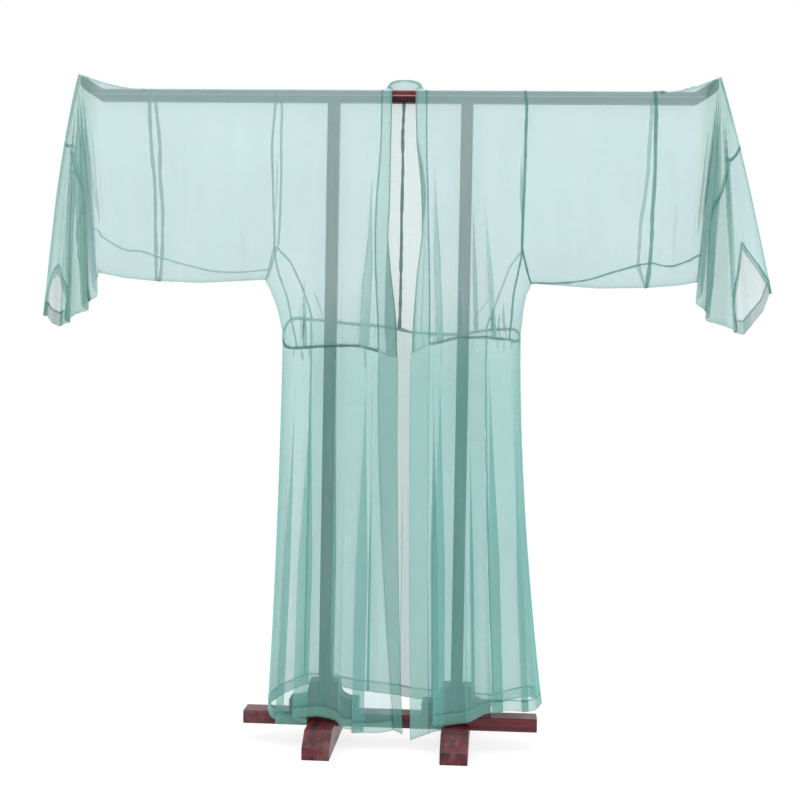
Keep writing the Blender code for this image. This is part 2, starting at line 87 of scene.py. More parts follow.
def mix_colours(tree, factor, first, second, blend="MIX"):
    node = add_node(tree, "ShaderNodeMix", data_type="RGBA", blend_type=blend)
    for number, value in ((0, factor), (6, first), (7, second)):
        if isinstance(value, bpy.types.NodeSocket):
            tree.links.new(value, node.inputs[number])
        else:
            node.inputs[number].default_value = value
    return node.outputs[2]


def ramp(tree, value, stops):
    node = add_node(tree, "ShaderNodeValToRGB", [("Fac", value)])
    elements = node.color_ramp.elements
    while len(elements) < len(stops):
        elements.new(0.5)
    for element, (position, colour) in zip(elements, stops):
        element.position = position
        element.color = colour if hasattr(colour, "__len__") else (colour, colour, colour, 1.0)
    return node.outputs["Color"]


def varnished_wood(name, grain, wear, gloss, worn, painted_light_height):
    """Stained wood with its grain along one axis, and pale rubbed patches where wear is above 0.

    Where a height is given for it, a pale line along the wood at that height is a painted highlight,
    and below it the colour is darkened towards the dark stain as painted shade.
    """
    material = bpy.data.materials.new(name)
    material.use_nodes = True
    tree = material.node_tree
    shader = tree.nodes["Principled BSDF"]
    place = add_node(tree, "ShaderNodeTexCoord").outputs["Object"]
    stretch = [GRAIN_STRETCH if axis == grain else 1.0 for axis in "XYZ"]
    along = add_node(tree, "ShaderNodeMapping", [("Vector", place), ("Scale", stretch)]).outputs[0]
    fibres = add_node(tree, "ShaderNodeTexNoise", [
        ("Vector", along), ("Scale", GRAIN_SCALE), ("Detail", 7.0), ("Roughness", 0.62),
        ("Distortion", 0.6)]).outputs["Fac"]
    pores = add_node(tree, "ShaderNodeTexNoise", [
        ("Vector", along), ("Scale", GRAIN_SCALE * 9), ("Detail", 3.0), ("Roughness", 0.5)]).outputs["Fac"]
    bright_red = tuple(c * 1.25 for c in WOOD_RED)
    stain = ramp(tree, fibres, ((0.30, WOOD_DARK), (0.56, WOOD_RED), (0.74, bright_red)))
    stain = mix_colours(tree, ramp(tree, pores, ((0.34, 0.65), (0.50, 0.0))), stain, WOOD_DARK)
    scuffs = add_node(tree, "ShaderNodeTexNoise", [
        ("Vector", place), ("Scale", WEAR_SCALE), ("Detail", 9.0), ("Roughness", 0.72)]).outputs["Fac"]
    rubbed = ramp(tree, scuffs, ((0.50, 0.0), (0.72, wear)))
    colour = mix_colours(tree, rubbed, stain, worn)
    if painted_light_height:
        height = add_node(tree, "ShaderNodeSeparateXYZ", [("Vector", place)]).outputs["Z"]
        across = add_node(tree, "ShaderNodeMapRange", [
            ("Value", height), ("From Min", painted_light_height - PAINTED_LIGHT_REACH), ("From Max", painted_light_height + PAINTED_LIGHT_REACH)]).outputs[0]
        # Painted shade: below the highlight line the colour turns to the dark stain
        colour = mix_colours(tree, ramp(tree, across, ((0.44, 0.86), (0.48, 0.0))), colour, WOOD_DARK)
        # Painted highlight: a pale line along the bar at that height
        edge = ramp(tree, across, ((0.44, 0.0), (0.47, 0.9), (0.53, 0.9), (0.56, 0.0)))
        colour = mix_colours(tree, edge, colour, WOOD_WORN_AND_HIGHLIGHT)
    tree.links.new(colour, shader.inputs["Base Color"])
    rough = ramp(tree, scuffs, ((0.35, 0.30), (0.65, 0.52)))
    tree.links.new(rough, shader.inputs["Roughness"])
    shader.inputs["Specular IOR Level"].default_value = gloss
    shader.inputs["Coat Weight"].default_value = gloss / 3
    shader.inputs["Coat Roughness"].default_value = 0.25
    relief = add_node(tree, "ShaderNodeBump", [
        ("Height", fibres), ("Strength", 0.22), ("Distance", 0.0012)])
    tree.links.new(relief.outputs["Normal"], shader.inputs["Normal"])
    return material


BRACKETS = ("spandrel_left_inner", "spandrel_left_outer", "spandrel_right_inner", "spandrel_right_outer")
for nodes, grain, wear, gloss, worn, painted_light_height in (
    (("crossbar",), "X", 0.10, 0.12, WOOD_WORN_AND_HIGHLIGHT, BAR_PAINTED_HIGHLIGHT),
    (("base_beam",), "X", 0.30, 0.30, WOOD_WORN_AND_HIGHLIGHT, None),
    (("post_left", "post_right"), "Z", 0.15, 0.20, WOOD_WORN_AND_HIGHLIGHT, None),
    (BRACKETS, "X", 0.30, 0.30, WOOD_WORN_AND_HIGHLIGHT, None),
    (("foot_left", "foot_right"), "Y", 0.95, 0.30, WOOD_SCUFFED, None),
):
    wood = varnished_wood("varnished_wood_" + nodes[0], grain, wear, gloss, worn, painted_light_height)
    for node in nodes:
        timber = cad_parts[node]
        for material_slot in timber.material_slots:
            material_slot.material = wood

# The cloth
# Plain-woven silk gauze, dyed a pale sea green, so open that the stand shows through two layers of it.
# It is one layer thick with no lining. Seams, hems and bands are the same gauze laid double or treble.
STAND_X = -0.0120
SILK = (0.410, 0.630, 0.615, 1.0)
# The low colours of the plain gauze, the doubled bands and the back panel are painted shade, deeper where less
# light falls
SILK_LOW_SHADE = (0.195, 0.520, 0.475, 1.0)
SILK_BAND = (0.295, 0.520, 0.490, 1.0)
SILK_BAND_LOW_SHADE = (0.190, 0.460, 0.400, 1.0)
# A deeper colour of the gauze: painted shade where the collar turns back, and the colour of the cuffs and tucks
SILK_DEEP = (0.135, 0.330, 0.290, 1.0)
# Deeper colour of the piled cloth past the bar's tip: painted shade of its layers
SILK_FOLDED_SHADE = (0.260, 0.500, 0.445, 1.0)
SILK_BACK_LOW_SHADE = (0.165, 0.500, 0.490, 1.0)
SILK_FRONT_BAND = (0.080, 0.320, 0.270, 1.0)
SEAM_DARK = (0.055, 0.190, 0.175, 1.0)
SEAM_COLOUR = (0.085, 0.300, 0.265, 1.0)
GAUZE_COVER = 0.45
SKIRT_COVER = {"left": 0.39, "right": 0.46, "back": 0.51}
DOUBLE_COVER = 0.60
SEAM_COVER = 0.66
TREBLE_COVER = 0.80
TUCK_COVER = 0.32
# How much the weave varies what a surface passes, and the flattest slant that is reckoned with
WEAVE_UNEVEN = 0.024
LEAST_SLANT = 0.22
# Between these heights the cloth's colour goes from its upper one to its lower, deeper one, a painted shade
# where less light falls
SHADE_TOP = 1.18
SHADE_FOOT = 0.90
SLUB_SCALE = 150.0
CLOTH_THICKNESS = 0.0005


def gauze(name, colour, painted_shade_colour, cover, pile_up_shade=None):
    """Sheer cloth that stops that share of the light seen straight on, and more of it seen aslant.

    A piece is a closed shell, so light passes two surfaces and each stops its part of the share.
    Where the pile-up stops are given, they say how much of the deeper folded colour, a painted shade of
    the piled layers, the cloth takes along the bar.
    """
    material = bpy.data.materials.new(name)
    material.use_nodes = True
    tree = material.node_tree
    shader = tree.nodes["Principled BSDF"]
    place = add_node(tree, "ShaderNodeTexCoord").outputs["Object"]
    slubs = []
    for stretch in ((1.0, 1.0, 0.035), (0.035, 1.0, 1.0)):
        along = add_node(tree, "ShaderNodeMapping", [("Vector", place), ("Scale", stretch)]).outputs[0]
        slubs.append(add_node(tree, "ShaderNodeTexNoise", [
            ("Vector", along), ("Scale", SLUB_SCALE), ("Detail", 5.0), ("Roughness", 0.7)]).outputs["Fac"])
    threads = add_node(tree, "ShaderNodeMath", [(0, slubs[0]), (1, slubs[1])], operation="ADD").outputs[0]
    axes = add_node(tree, "ShaderNodeSeparateXYZ", [("Vector", place)])
    # Painted shade: down the cloth its colour turns from the upper one to the lower, deeper one
    low = add_node(tree, "ShaderNodeMapRange", [
        ("Value", axes.outputs["Z"]), ("From Min", SHADE_TOP), ("From Max", SHADE_FOOT)],
        interpolation_type="SMOOTHSTEP").outputs[0]
    dye_and_painted_shade = mix_colours(tree, low, colour, painted_shade_colour)
    if pile_up_shade:
        # Painted shade where the cloth piles up past the bar's tip
        beside = add_node(tree, "ShaderNodeMath", [(0, axes.outputs["X"])], operation="ABSOLUTE").outputs[0]
        piled_shade = ramp(tree, beside, pile_up_shade)
        dye_and_painted_shade = mix_colours(tree, piled_shade, dye_and_painted_shade, SILK_FOLDED_SHADE)
    clouds = add_node(tree, "ShaderNodeTexNoise", [
        ("Vector", place), ("Scale", 4.0), ("Detail", 4.0), ("Roughness", 0.5)]).outputs["Fac"]
    uneven = ramp(tree, clouds, ((0.30, 0.93), (0.70, 1.0)))
    tree.links.new(mix_colours(tree, 1.0, dye_and_painted_shade, uneven, "MULTIPLY"), shader.inputs["Base Color"])
    passed = math.sqrt(1 - cover)
    hanging = add_node(tree, "ShaderNodeMapping", [("Vector", place), ("Scale", (1.0, 0.4, 0.16))]).outputs[0]
    bands = add_node(tree, "ShaderNodeTexNoise", [
        ("Vector", hanging), ("Scale", 17.0), ("Detail", 2.5), ("Roughness", 0.45)]).outputs["Fac"]
    threads = add_node(tree, "ShaderNodeMath", [(0, threads), (1, bands)], operation="ADD").outputs[0]
    varied = add_node(tree, "ShaderNodeMapRange", [
        ("Value", threads), ("From Min", 1.1), ("From Max", 1.9),
        ("To Min", passed + WEAVE_UNEVEN), ("To Max", passed - WEAVE_UNEVEN)]).outputs[0]
    facing = add_node(tree, "ShaderNodeLayerWeight", [("Blend", 0.5)]).outputs["Facing"]
    slant = add_node(tree, "ShaderNodeMath", [(0, 1.0), (1, facing)], operation="SUBTRACT").outputs[0]
    slant = add_node(tree, "ShaderNodeMath", [(0, slant), (1, LEAST_SLANT)], operation="MAXIMUM").outputs[0]
    layers = add_node(tree, "ShaderNodeMath", [(0, 1.0), (1, slant)], operation="DIVIDE").outputs[0]
    through = add_node(tree, "ShaderNodeMath", [(0, varied), (1, layers)], operation="POWER").outputs[0]
    stopped = add_node(tree, "ShaderNodeMath", [(0, 1.0), (1, through)], operation="SUBTRACT").outputs[0]
    tree.links.new(stopped, shader.inputs["Alpha"])
    shader.inputs["Roughness"].default_value = 0.48
    shader.inputs["Specular IOR Level"].default_value = 0.25
    shader.inputs["Sheen Weight"].default_value = 0.10
    shader.inputs["Sheen Roughness"].default_value = 0.35
    relief = add_node(tree, "ShaderNodeBump", [
        ("Height", threads), ("Strength", 0.10), ("Distance", 0.0006)])
    tree.links.new(relief.outputs["Normal"], shader.inputs["Normal"])
    return material


silk = gauze("silk_gauze", SILK, SILK_LOW_SHADE, GAUZE_COVER)
double_silk = gauze("silk_gauze_double", SILK_BAND, SILK_BAND_LOW_SHADE, DOUBLE_COVER)
turned_back_shade_silk = gauze("silk_gauze_turned_back", SILK_DEEP, SILK_DEEP, DOUBLE_COVER)
seam_silk = gauze("silk_seam", SEAM_COLOUR, SEAM_COLOUR, SEAM_COVER)
dark_seam_silk = gauze("silk_seam_treble", SEAM_DARK, SEAM_DARK, TREBLE_COVER)
tuck_silk = gauze("silk_gauze_tucked", SILK_DEEP, SILK_DEEP, TUCK_COVER)


def lerp(start, end, part):
    return start + (end - start) * part


def ease(part):
    part = min(max(part, 0.0), 1.0)
    return part * part * (3 - 2 * part)


def column(rows, key, value, at):
    """Value in one column of a table where another column, which rises, has the given number."""
    return float(np.interp(at, [row[key] for row in rows], [row[value] for row in rows]))


def smooth_row(rows, part):
    """All columns of a table at a part of its length, on a smooth curve through its rows."""
    place = min(max(part, 0.0), 1.0) * (len(rows) - 1)
    first = min(int(place), len(rows) - 2)
    t = place - first
    before, start, end, after = (
        np.array(rows[min(max(first + step, 0), len(rows) - 1)]) for step in (-1, 0, 1, 2)
    )
    slope_in, slope_out = (end - before) / 2, (after - start) / 2
    return (
        (2 * t**3 - 3 * t**2 + 1) * start + (t**3 - 2 * t**2 + t) * slope_in
        + (3 * t**2 - 2 * t**3) * end + (t**3 - t**2) * slope_out
    )


def make_mesh(name, points, faces, material, thickness):
    """A closed thin shell round a sheet of faces, given from the middle of the stand."""
    mesh = bpy.data.meshes.new(name)
    mesh.from_pydata([(x + STAND_X, y, z) for x, y, z in points], [], faces)
    mesh.materials.append(material)
    mesh.shade_smooth()
    piece = bpy.data.objects.new(name, mesh)
    bpy.context.scene.collection.objects.link(piece)
    wall = piece.modifiers.new("thickness", "SOLIDIFY")
    wall.thickness = thickness
    wall.offset = 0.0
    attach(piece, "root")
    return piece


def grid_faces(across, along, closed=False):
    """Faces of a sheet of points in rows of across + 1, or of across where the rows close up."""
    width = across if closed else across + 1
    faces = []
    for v in range(along):
        for u in range(across):
            right = (u + 1) % across if closed else u + 1
            faces.append((v * width + u, v * width + right, (v + 1) * width + right, (v + 1) * width + u))
    return faces


def hang(name, shape, across, along, material=silk, closed=False, thickness=CLOTH_THICKNESS):
    """A piece of cloth whose points are shape(u, v), with u and v from 0 to 1."""
    width = across if closed else across + 1
    points = [shape(u / across, v / along) for v in range(along + 1) for u in range(width)]
    return make_mesh(name, points, grid_faces(across, along, closed), material, thickness)


def folded(folds, x, z, outward):
    """Shift of a point, sideways and in depth, by folds that start at one height and grow downwards."""
    across = depth = 0.0
    for x_top, z_top, x_foot, z_foot, half_width, overlap, rise in folds:
        fallen = (z_top - z) / (z_top - z_foot)
        if fallen <= 0:
            continue
        reach = (x - lerp(x_top, x_foot, fallen)) / half_width
        if abs(reach) >= 1:
            continue
        wave = math.sin(math.pi * reach) * (1 + math.cos(math.pi * reach)) / 2
        swell = (1 + math.cos(math.pi * reach)) / 2
        grown = min(fallen * 1.6, 1.0)
        across -= overlap * grown * wave
        depth += rise * grown * (wave + 0.7 * swell) * outward
    return across, depth


def ripple(x, z, outward, size, seed):
    """Small unevenness of hanging cloth, longer downwards than across, and never inwards."""
    broad = noise.noise(Vector((x * 11.0, seed, z * 3.2)))
    fine = noise.noise(Vector((x * 34.0, seed + 7.0, z * 8.0)))
    return outward * size * (0.55 + 0.75 * broad + 0.28 * fine)


# Bodice
# Two straight lengths of gauze, left and right, that run over the bar from the waist in front to the waist
# behind. They are sewn together down the centre back, and the neck is cut between them.
CLOTH_TOP = 1.6493
CENTRE_BACK = 0.0065
ARMHOLE_X = 0.311
BODY_DEPTH = 0.0200
SEAM_GAP = 0.0003
# How the cloth falls over the bar: drop below its top, half the depth by the armhole and along the bar
SECTION = (
    (0.0000, 0.0000, 0.0000),
    (0.0000, 0.0100, 0.0100),
    (0.0018, 0.0145, 0.0145),
    (0.0063, 0.0164, 0.0164),
    (0.0350, 0.0170, 0.0168),
    (0.1100, 0.0185, 0.0190),
    (0.1900, 0.0195, 0.0200),
    (0.2700, 0.0200, 0.0185),
    (0.3300, 0.0200, 0.0160),
    (0.3890, 0.0195, 0.0130),
    (0.4200, 0.0175, 0.0110),
    (0.4520, 0.0130, 0.0090),
    (0.4700, 0.0075, 0.0055),
    (0.4780, 0.0000, 0.0000),
)
SECTION_ROWS = len(SECTION) - 1
ARMHOLE_ROW = 9
WAIST_ROW = 13
# Waist seam: x, height in front, height behind
WAIST = (
    (-0.300, 0.9990, 1.0790),
    (-0.245, 1.0030, 1.0775),
    (-0.190, 1.0070, 1.0730),
    (-0.130, 1.0100, 1.0660),
    (-0.085, 1.0090, 1.0640),
    (-0.044, 0.9980, 1.0610),
    (0.006, 0.9800, 1.0550),
    (0.040, 0.9930, 1.0470),
    (0.087, 1.0170, 1.0430),
    (0.150, 1.0330, 1.0430),
    (0.220, 1.0370, 1.0540),
    (0.285, 1.0310, 1.0600),
    (0.315, 1.0180, 1.0620),
)
# Armhole seams: height, x in front and behind
ARMHOLE = {
    -1: ((1.260, 0.311, 0.307), (1.420, 0.318, 0.302), (1.500, 0.322, 0.304),
         (1.610, 0.315, 0.303), (1.649, 0.311, 0.311)),
    1: ((1.260, 0.311, 0.311), (1.420, 0.314, 0.312), (1.500, 0.3155, 0.313),
        (1.610, 0.3155, 0.315), (1.649, 0.311, 0.311)),
}
# Edge between gusset and bodice, from armhole to waist: x in front and behind, left side then right
GUSSET_EDGE = {
    -1: ((0.311, 0.307), (0.302, 0.272), (0.279, 0.250), (0.264, 0.231), (0.250, 0.2185)),
    1: ((0.311, 0.311), (0.303, 0.281), (0.292, 0.262), (0.288, 0.243), (0.283, 0.2240)),
}
# Front edges: height, seam of the collar with the left bodice, left opening edge, right ones alike
COLLAR_FRONT = (
    (0.980, -0.0440, 0.0055, 0.0850, 0.0380),
    (1.060, -0.0462, 0.0009, 0.0840, 0.0413),
    (1.120, -0.0500, -0.0060, 0.0830, 0.0450),
    (1.195, -0.0550, -0.0160, 0.0812, 0.0500),
    (1.283, -0.0572, -0.0245, 0.0776, 0.0600),
    (1.350, -0.0565, -0.0215, 0.0755, 0.0590),
    (1.407, -0.0535, -0.0209, 0.0735, 0.0560),
    (1.462, -0.0490, -0.0209, 0.0705, 0.0500),
    (1.514, -0.0468, -0.0209, 0.0690, 0.0430),
    (1.617, -0.0463, -0.0205, 0.0668, 0.0385),
    (1.650, -0.0463, -0.0205, 0.0665, 0.0385),
)
# Folds of the bodice: x and height at the top, x and height at the foot, half width, overlap, rise
BODICE_FOLDS_FRONT = (
    (-0.0640, 1.540, -0.0800, 1.000, 0.034, 0.034, 0.006),
    (0.0850, 1.560, 0.1100, 1.030, 0.030, 0.026, 0.006),
    (0.2080, 1.480, 0.2460, 1.035, 0.040, 0.026, 0.006),
    (-0.2350, 1.240, -0.2300, 1.005, 0.022, 0.016, 0.004),
    (-0.1450, 1.330, -0.1320, 1.005, 0.030, 0.006, 0.004),
    (0.1620, 1.300, 0.1700, 1.030, 0.026, 0.006, 0.004),
)
BODICE_FOLDS_BACK = (
    (-0.0500, 1.520, -0.0620, 1.060, 0.024, 0.010, 0.005),
    (-0.1900, 1.450, -0.1700, 1.070, 0.030, 0.020, 0.006),
    (0.0700, 1.480, 0.0600, 1.045, 0.026, 0.012, 0.005),
    (0.1800, 1.500, 0.2000, 1.045, 0.030, 0.022, 0.006),
)
# Tucks where the bodice is gathered into the waist seam and hangs from the armhole: u and v of both
# ends, then the width
BODICE_TUCKS = (
    (0.97, 0.002, 0.90, 0.060, 0.0060),
    (0.93, 0.002, 0.89, 0.042, 0.0050),
    (0.88, 0.002, 0.84, 0.050, 0.0060),
    (0.80, 0.002, 0.78, 0.034, 0.0045),
    (0.985, 0.200, 0.955, 0.280, 0.0060),
    (0.90, 0.940, 0.88, 0.998, 0.0050),
)
# Past the bar's tip the cloth piles up, and its colour is mixed towards a deeper one as painted shade of
# the piled layers: distance from the tip, share of that shade
PILE_UP_SHADE_LEFT = ((-0.050, 0.0), (-0.025, 1.0), (0.030, 0.9), (0.075, 0.7))
PILE_UP_SHADE_RIGHT = ((-0.050, 0.0), (-0.030, 1.0), (0.022, 1.0), (0.034, 0.15), (0.120, 0.0))
SIDES = {
    "left": {"sign": -1, "tip_x": 0.8185, "bulge": 0.013, "pile_up_shade": PILE_UP_SHADE_LEFT},
    "right": {"sign": 1, "tip_x": 0.7915, "bulge": 0.007, "pile_up_shade": PILE_UP_SHADE_RIGHT},
}


def waist_height(x, y):
    front, back = column(WAIST, 0, 1, x), column(WAIST, 0, 2, x)
    return lerp(front, back, ease((y + BODY_DEPTH) / (2 * BODY_DEPTH)))


def armhole_x(sign, facing, z):
    return column(ARMHOLE[sign], 0, 1 if facing < 0 else 2, z)


def bodice_edge(sign, row, facing):
    """x, without its sign, of the bodice's outer edge at a row from the top of the bar to the waist."""
    if row <= ARMHOLE_ROW:
        return armhole_x(sign, facing, CLOTH_TOP - smooth_row(SECTION, row / SECTION_ROWS)[0])
    part = (row - ARMHOLE_ROW) / (WAIST_ROW - ARMHOLE_ROW)
    return smooth_row(GUSSET_EDGE[sign], part)[0 if facing < 0 else 1]


def bodice_row(row, facing):
    """Share of the way from armhole to waist, drop below the top of the bar, and depth."""
    if row <= ARMHOLE_ROW:
        drop, depth, _ = smooth_row(SECTION, row / SECTION_ROWS)
        return 0.0, drop, facing * depth
    part = (row - ARMHOLE_ROW) / (WAIST_ROW - ARMHOLE_ROW)
    return part, SECTION[ARMHOLE_ROW][0], facing * lerp(SECTION[ARMHOLE_ROW][1], BODY_DEPTH, part)


def neck_x(sign, row, facing):
    """x of the bodice's edge at the collar or, behind, at the seam down the centre back."""
    seam_column = 1 if sign < 0 else 3
    shoulder = COLLAR_FRONT[-1][seam_column]
    if facing < 0:
        part, drop, _ = bodice_row(row, facing)
        height = lerp(CLOTH_TOP - drop, waist_height(shoulder, -BODY_DEPTH), part)
        return column(COLLAR_FRONT, 0, seam_column, height)
    centre = CENTRE_BACK + sign * SEAM_GAP / 2
    return lerp(shoulder, centre, float(np.interp(row, (0, 1, 2, 3), (0.0, 0.10, 0.45, 1.0))))


def bodice_point(sign, row, facing, x, flat=False):
    """A point of the bodice at a row and an x. Its edges are flat, and the folds lie between them."""
    part, drop, y = bodice_row(row, facing)
    z = lerp(CLOTH_TOP - drop, waist_height(x, math.copysign(BODY_DEPTH, facing)), part)
    if flat:
        return x, y, z
    inner, outer = neck_x(sign, row, facing), sign * bodice_edge(sign, row, facing)
    calm = ease(drop * 9) * ease(abs(x - inner) * 60) * ease(abs(outer - x) * 60)
    folds = BODICE_FOLDS_FRONT if facing < 0 else BODICE_FOLDS_BACK
    across, depth = folded(folds, x, z, facing)
    y += calm * (depth + ripple(x, z, facing, 0.0035, 3.0 + facing))
    return x + calm * across, y, z


def bodice_shape(sign):
    def shape(u, v):
        step = (2 * v - 1) * WAIST_ROW
        row, facing = abs(step), 1 if step > 0 else -1
        inner = neck_x(sign, row, facing)
        outer = sign * (bodice_edge(sign, row, facing) - SEAM_GAP / 2)
        return bodice_point(sign, row, facing, lerp(inner, outer, u))
    return shape


for name, side in SIDES.items():
    length = hang("bodice_" + name + "_cloth", bodice_shape(side["sign"]), 64, 180)
    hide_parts("bodice_" + name)


# Seams
# Where two widths meet, their edges are turned in and sewn down, so three or four layers of gauze lie in
# a narrow strip that shows as a dark line. Each strip follows the edges that it joins.
SEAM_WIDTH = 0.0050
TREBLE_SEAM_WIDTH = 0.0072
ARMHOLE_SEAM_WIDTH = 0.0060
STRIP_THICKNESS = 0.0004
SEAM_LIFT = 0.0006
TUCK_LIFT = 0.0009
TUCK_STEPS = 14
# A strip's points across it, as parts of its half width
STRIP_PARTS = (-1.0, -0.35, 0.35, 1.0)


def strip(shape, path, width, lift, pointed=False):
    """Points of a narrow strip along a path of (u, v) on a cloth, just off its outer face."""
    middle, outward = [], []
    for u, v in path:
        here = np.array(shape(u, v))
        du = np.array(shape(min(u + 0.004, 1.0), v)) - np.array(shape(max(u - 0.004, 0.0), v))
        dv = np.array(shape(u, min(v + 0.004, 1.0))) - np.array(shape(u, max(v - 0.004, 0.0)))
        normal = np.cross(du, dv)
        middle.append(here)
        outward.append(normal / max(np.linalg.norm(normal), 1e-9))
    points = []
    for step, (here, normal) in enumerate(zip(middle, outward)):
        along = middle[min(step + 1, len(middle) - 1)] - middle[max(step - 1, 0)]
        side = np.cross(normal, along)
        side = side / max(np.linalg.norm(side), 1e-9)
        stray = noise.noise(Vector(here) * 14.0) * 0.25 * width
        puckered = width / 2 * (1.0 + 0.45 * noise.noise(Vector(here) * 55.0))
        if pointed:
            puckered *= math.sin(math.pi * (step + 0.3) / (len(path) - 0.4))
        for part in STRIP_PARTS:
            crown = lift * (1.0 if abs(part) == 1.0 else 1.6)
            points.append(tuple(here + side * (stray + puckered * part) + normal * crown))
    return points


def sew(name, runs, width=SEAM_WIDTH, material=seam_silk):
    """One piece of seam strips, each run a cloth's shape and the path of (u, v) that it follows."""
    points, faces = [], []
    for shape, path in runs:
        start = len(points)
        points += strip(shape, path, width, SEAM_LIFT)
        faces += [tuple(start + i for i in face) for face in grid_faces(len(STRIP_PARTS) - 1, len(path) - 1)]
    piece = make_mesh(name, points, faces, material, STRIP_THICKNESS)
    return piece


def tuck(name, shape, rows):
    """Small pinched tucks of a cloth as one piece, each row (u, v), (u, v) of its ends and its width."""
    points, faces = [], []
    for start_u, start_v, end_u, end_v, width in rows:
        path = []
        for step in range(TUCK_STEPS + 1):
            part = step / TUCK_STEPS
            bow = 0.15 * math.sin(math.pi * part)
            path.append((lerp(start_u, end_u, part + bow), lerp(start_v, end_v, part)))
        start = len(points)
        points += strip(shape, path, width, TUCK_LIFT, pointed=True)
        faces += [tuple(start + i for i in face) for face in grid_faces(len(STRIP_PARTS) - 1, TUCK_STEPS)]
    piece = make_mesh(name, points, faces, tuck_silk, STRIP_THICKNESS)
    return piece


def run_up(u, start=0.0, end=1.0, steps=120):
    return [(u, lerp(start, end, step / steps)) for step in range(steps + 1)]


def run_across(v, start=0.0, end=1.0, steps=80):
    return [(lerp(start, end, step / steps), v) for step in range(steps + 1)]


left_bodice, right_bodice = bodice_shape(-1), bodice_shape(1)
neck_back = 0.5 + 1.5 / WAIST_ROW
sew("seam_centre_back", [(left_bodice, run_up(0.0, neck_back))], TREBLE_SEAM_WIDTH, dark_seam_silk)
armhole_end = 0.5 * ARMHOLE_ROW / WAIST_ROW
for name, shape in (("left", left_bodice), ("right", right_bodice)):
    over_bar = run_up(0.998, 0.5 - armhole_end, 0.5 + armhole_end)
    sew("seam_armhole_" + name, [(shape, over_bar)], ARMHOLE_SEAM_WIDTH)
    tuck("tucks_bodice_" + name, shape, BODICE_TUCKS)

# Collar
# One long straight strip of doubled gauze that edges both fronts and passes behind the neck, where it
# stands up above the bar. Its free edge curls back on itself where the fronts hang loose.
CURVED_SEAM = 0.0008
COLLAR_SEAM_WIDTH = 0.0030
COLLAR_ACROSS = 20
TURNED_FROM = 0.7
# Behind the neck: part of the way from shoulder to centre back of the seam, then of the free edge, its y,
# its height and how much is turned back over it
COLLAR_BACK = (
    (0.000, 0.00, -0.0020, 1.6530, 0.002),
    (0.100, -0.30, 0.0090, 1.6690, 0.011),
    (0.450, 0.30, 0.0170, 1.6785, 0.008),
    (1.000, 1.00, 0.0205, 1.6800, 0.003),
)
# How much of the strip is turned back over its front: height, left, right
COLLAR_TURN = (
    (0.980, 0.034, 0.012),
    (1.060, 0.030, 0.006),
    (1.150, 0.019, 0.003),
    (1.240, 0.006, 0.002),
    (1.275, 0.002, 0.002),
    (1.310, 0.002, 0.004),
    (1.380, 0.002, 0.012),
    (1.450, 0.002, 0.010),
    (1.540, 0.002, 0.002),
    (1.650, 0.002, 0.002),
)


def collar_pairs():
    """Seam edge, free edge and turned width, from the left waist round the neck to the right."""
    pairs = {-1: [], 1: []}
    for sign, free_column in ((-1, 2), (1, 4)):
        for row in np.linspace(WAIST_ROW, 2, 90):
            x, y, z = bodice_point(sign, row, -1, neck_x(sign, row, -1), flat=True)
            free_x = column(COLLAR_FRONT, 0, free_column, z)
            free_z = lerp(z, waist_height(free_x, -BODY_DEPTH), ease((row - WAIST_ROW + 1.0)))
            turn = column(COLLAR_TURN, 0, 1 if sign < 0 else 2, z)
            pairs[sign].append(((x - sign * CURVED_SEAM, y, z), (free_x, y - 0.0015, free_z), turn))
        shoulder = neck_x(sign, 0, -1)
        free_shoulder = COLLAR_FRONT[-1][free_column]
        for row in np.linspace(0, 3, 22):
            seam_part, free_part, free_y, free_z, turn = smooth_row(COLLAR_BACK, row / 3)
            drop, y, _ = smooth_row(SECTION, row / SECTION_ROWS)
            seam_x = lerp(shoulder, CENTRE_BACK, seam_part) - sign * CURVED_SEAM * (1 - seam_part)
            seam = (seam_x, y, CLOTH_TOP - drop + CURVED_SEAM * 2)
            free_x = lerp(free_shoulder, CENTRE_BACK, free_part)
            pairs[sign].append((seam, (free_x, free_y, free_z), turn))
    return pairs[-1] + pairs[1][-2::-1]


COLLAR_PAIRS = collar_pairs()


def collar_shape(u, v):
    """The strip lies flat to its free edge and then turns back, so u past TURNED_FROM is its reverse."""
    place = v * (len(COLLAR_PAIRS) - 1)
    first = min(int(place), len(COLLAR_PAIRS) - 2)
    ends = []
    for seam, free, turn in COLLAR_PAIRS[first : first + 2]:
        seam, free = np.array(seam), np.array(free)
        over = (seam - free) / max(np.linalg.norm(seam - free), 1e-9)
        if u <= TURNED_FROM:
            crown = math.sin(math.pi * u / TURNED_FROM)
            ends.append(lerp(seam, free, u / TURNED_FROM) - np.array((0.0, 0.0015 * crown, 0.0)))
        else:
            back = (u - TURNED_FROM) / (1 - TURNED_FROM)
            curl = 0.0026 * math.sin(math.pi / 2 * min(back * 3, 1.0)) + 0.0022 * back
            ends.append(free + over * turn * back - np.array((0.0, curl, 0.0)))
    return tuple(lerp(ends[0], ends[1], place - first))


collar = hang("collar_cloth", collar_shape, COLLAR_ACROSS, 210, double_silk)
# The turned-back part of the strip takes the deeper colour as painted shade
collar.data.materials.append(turned_back_shade_silk)
for number, face in enumerate(collar.data.polygons):
    face.material_index = 1 if number % COLLAR_ACROSS >= round(TURNED_FROM * COLLAR_ACROSS) else 0
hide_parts("collar_band")
sew("seam_collar", [(collar_shape, run_up(0.0, steps=220))], COLLAR_SEAM_WIDTH)

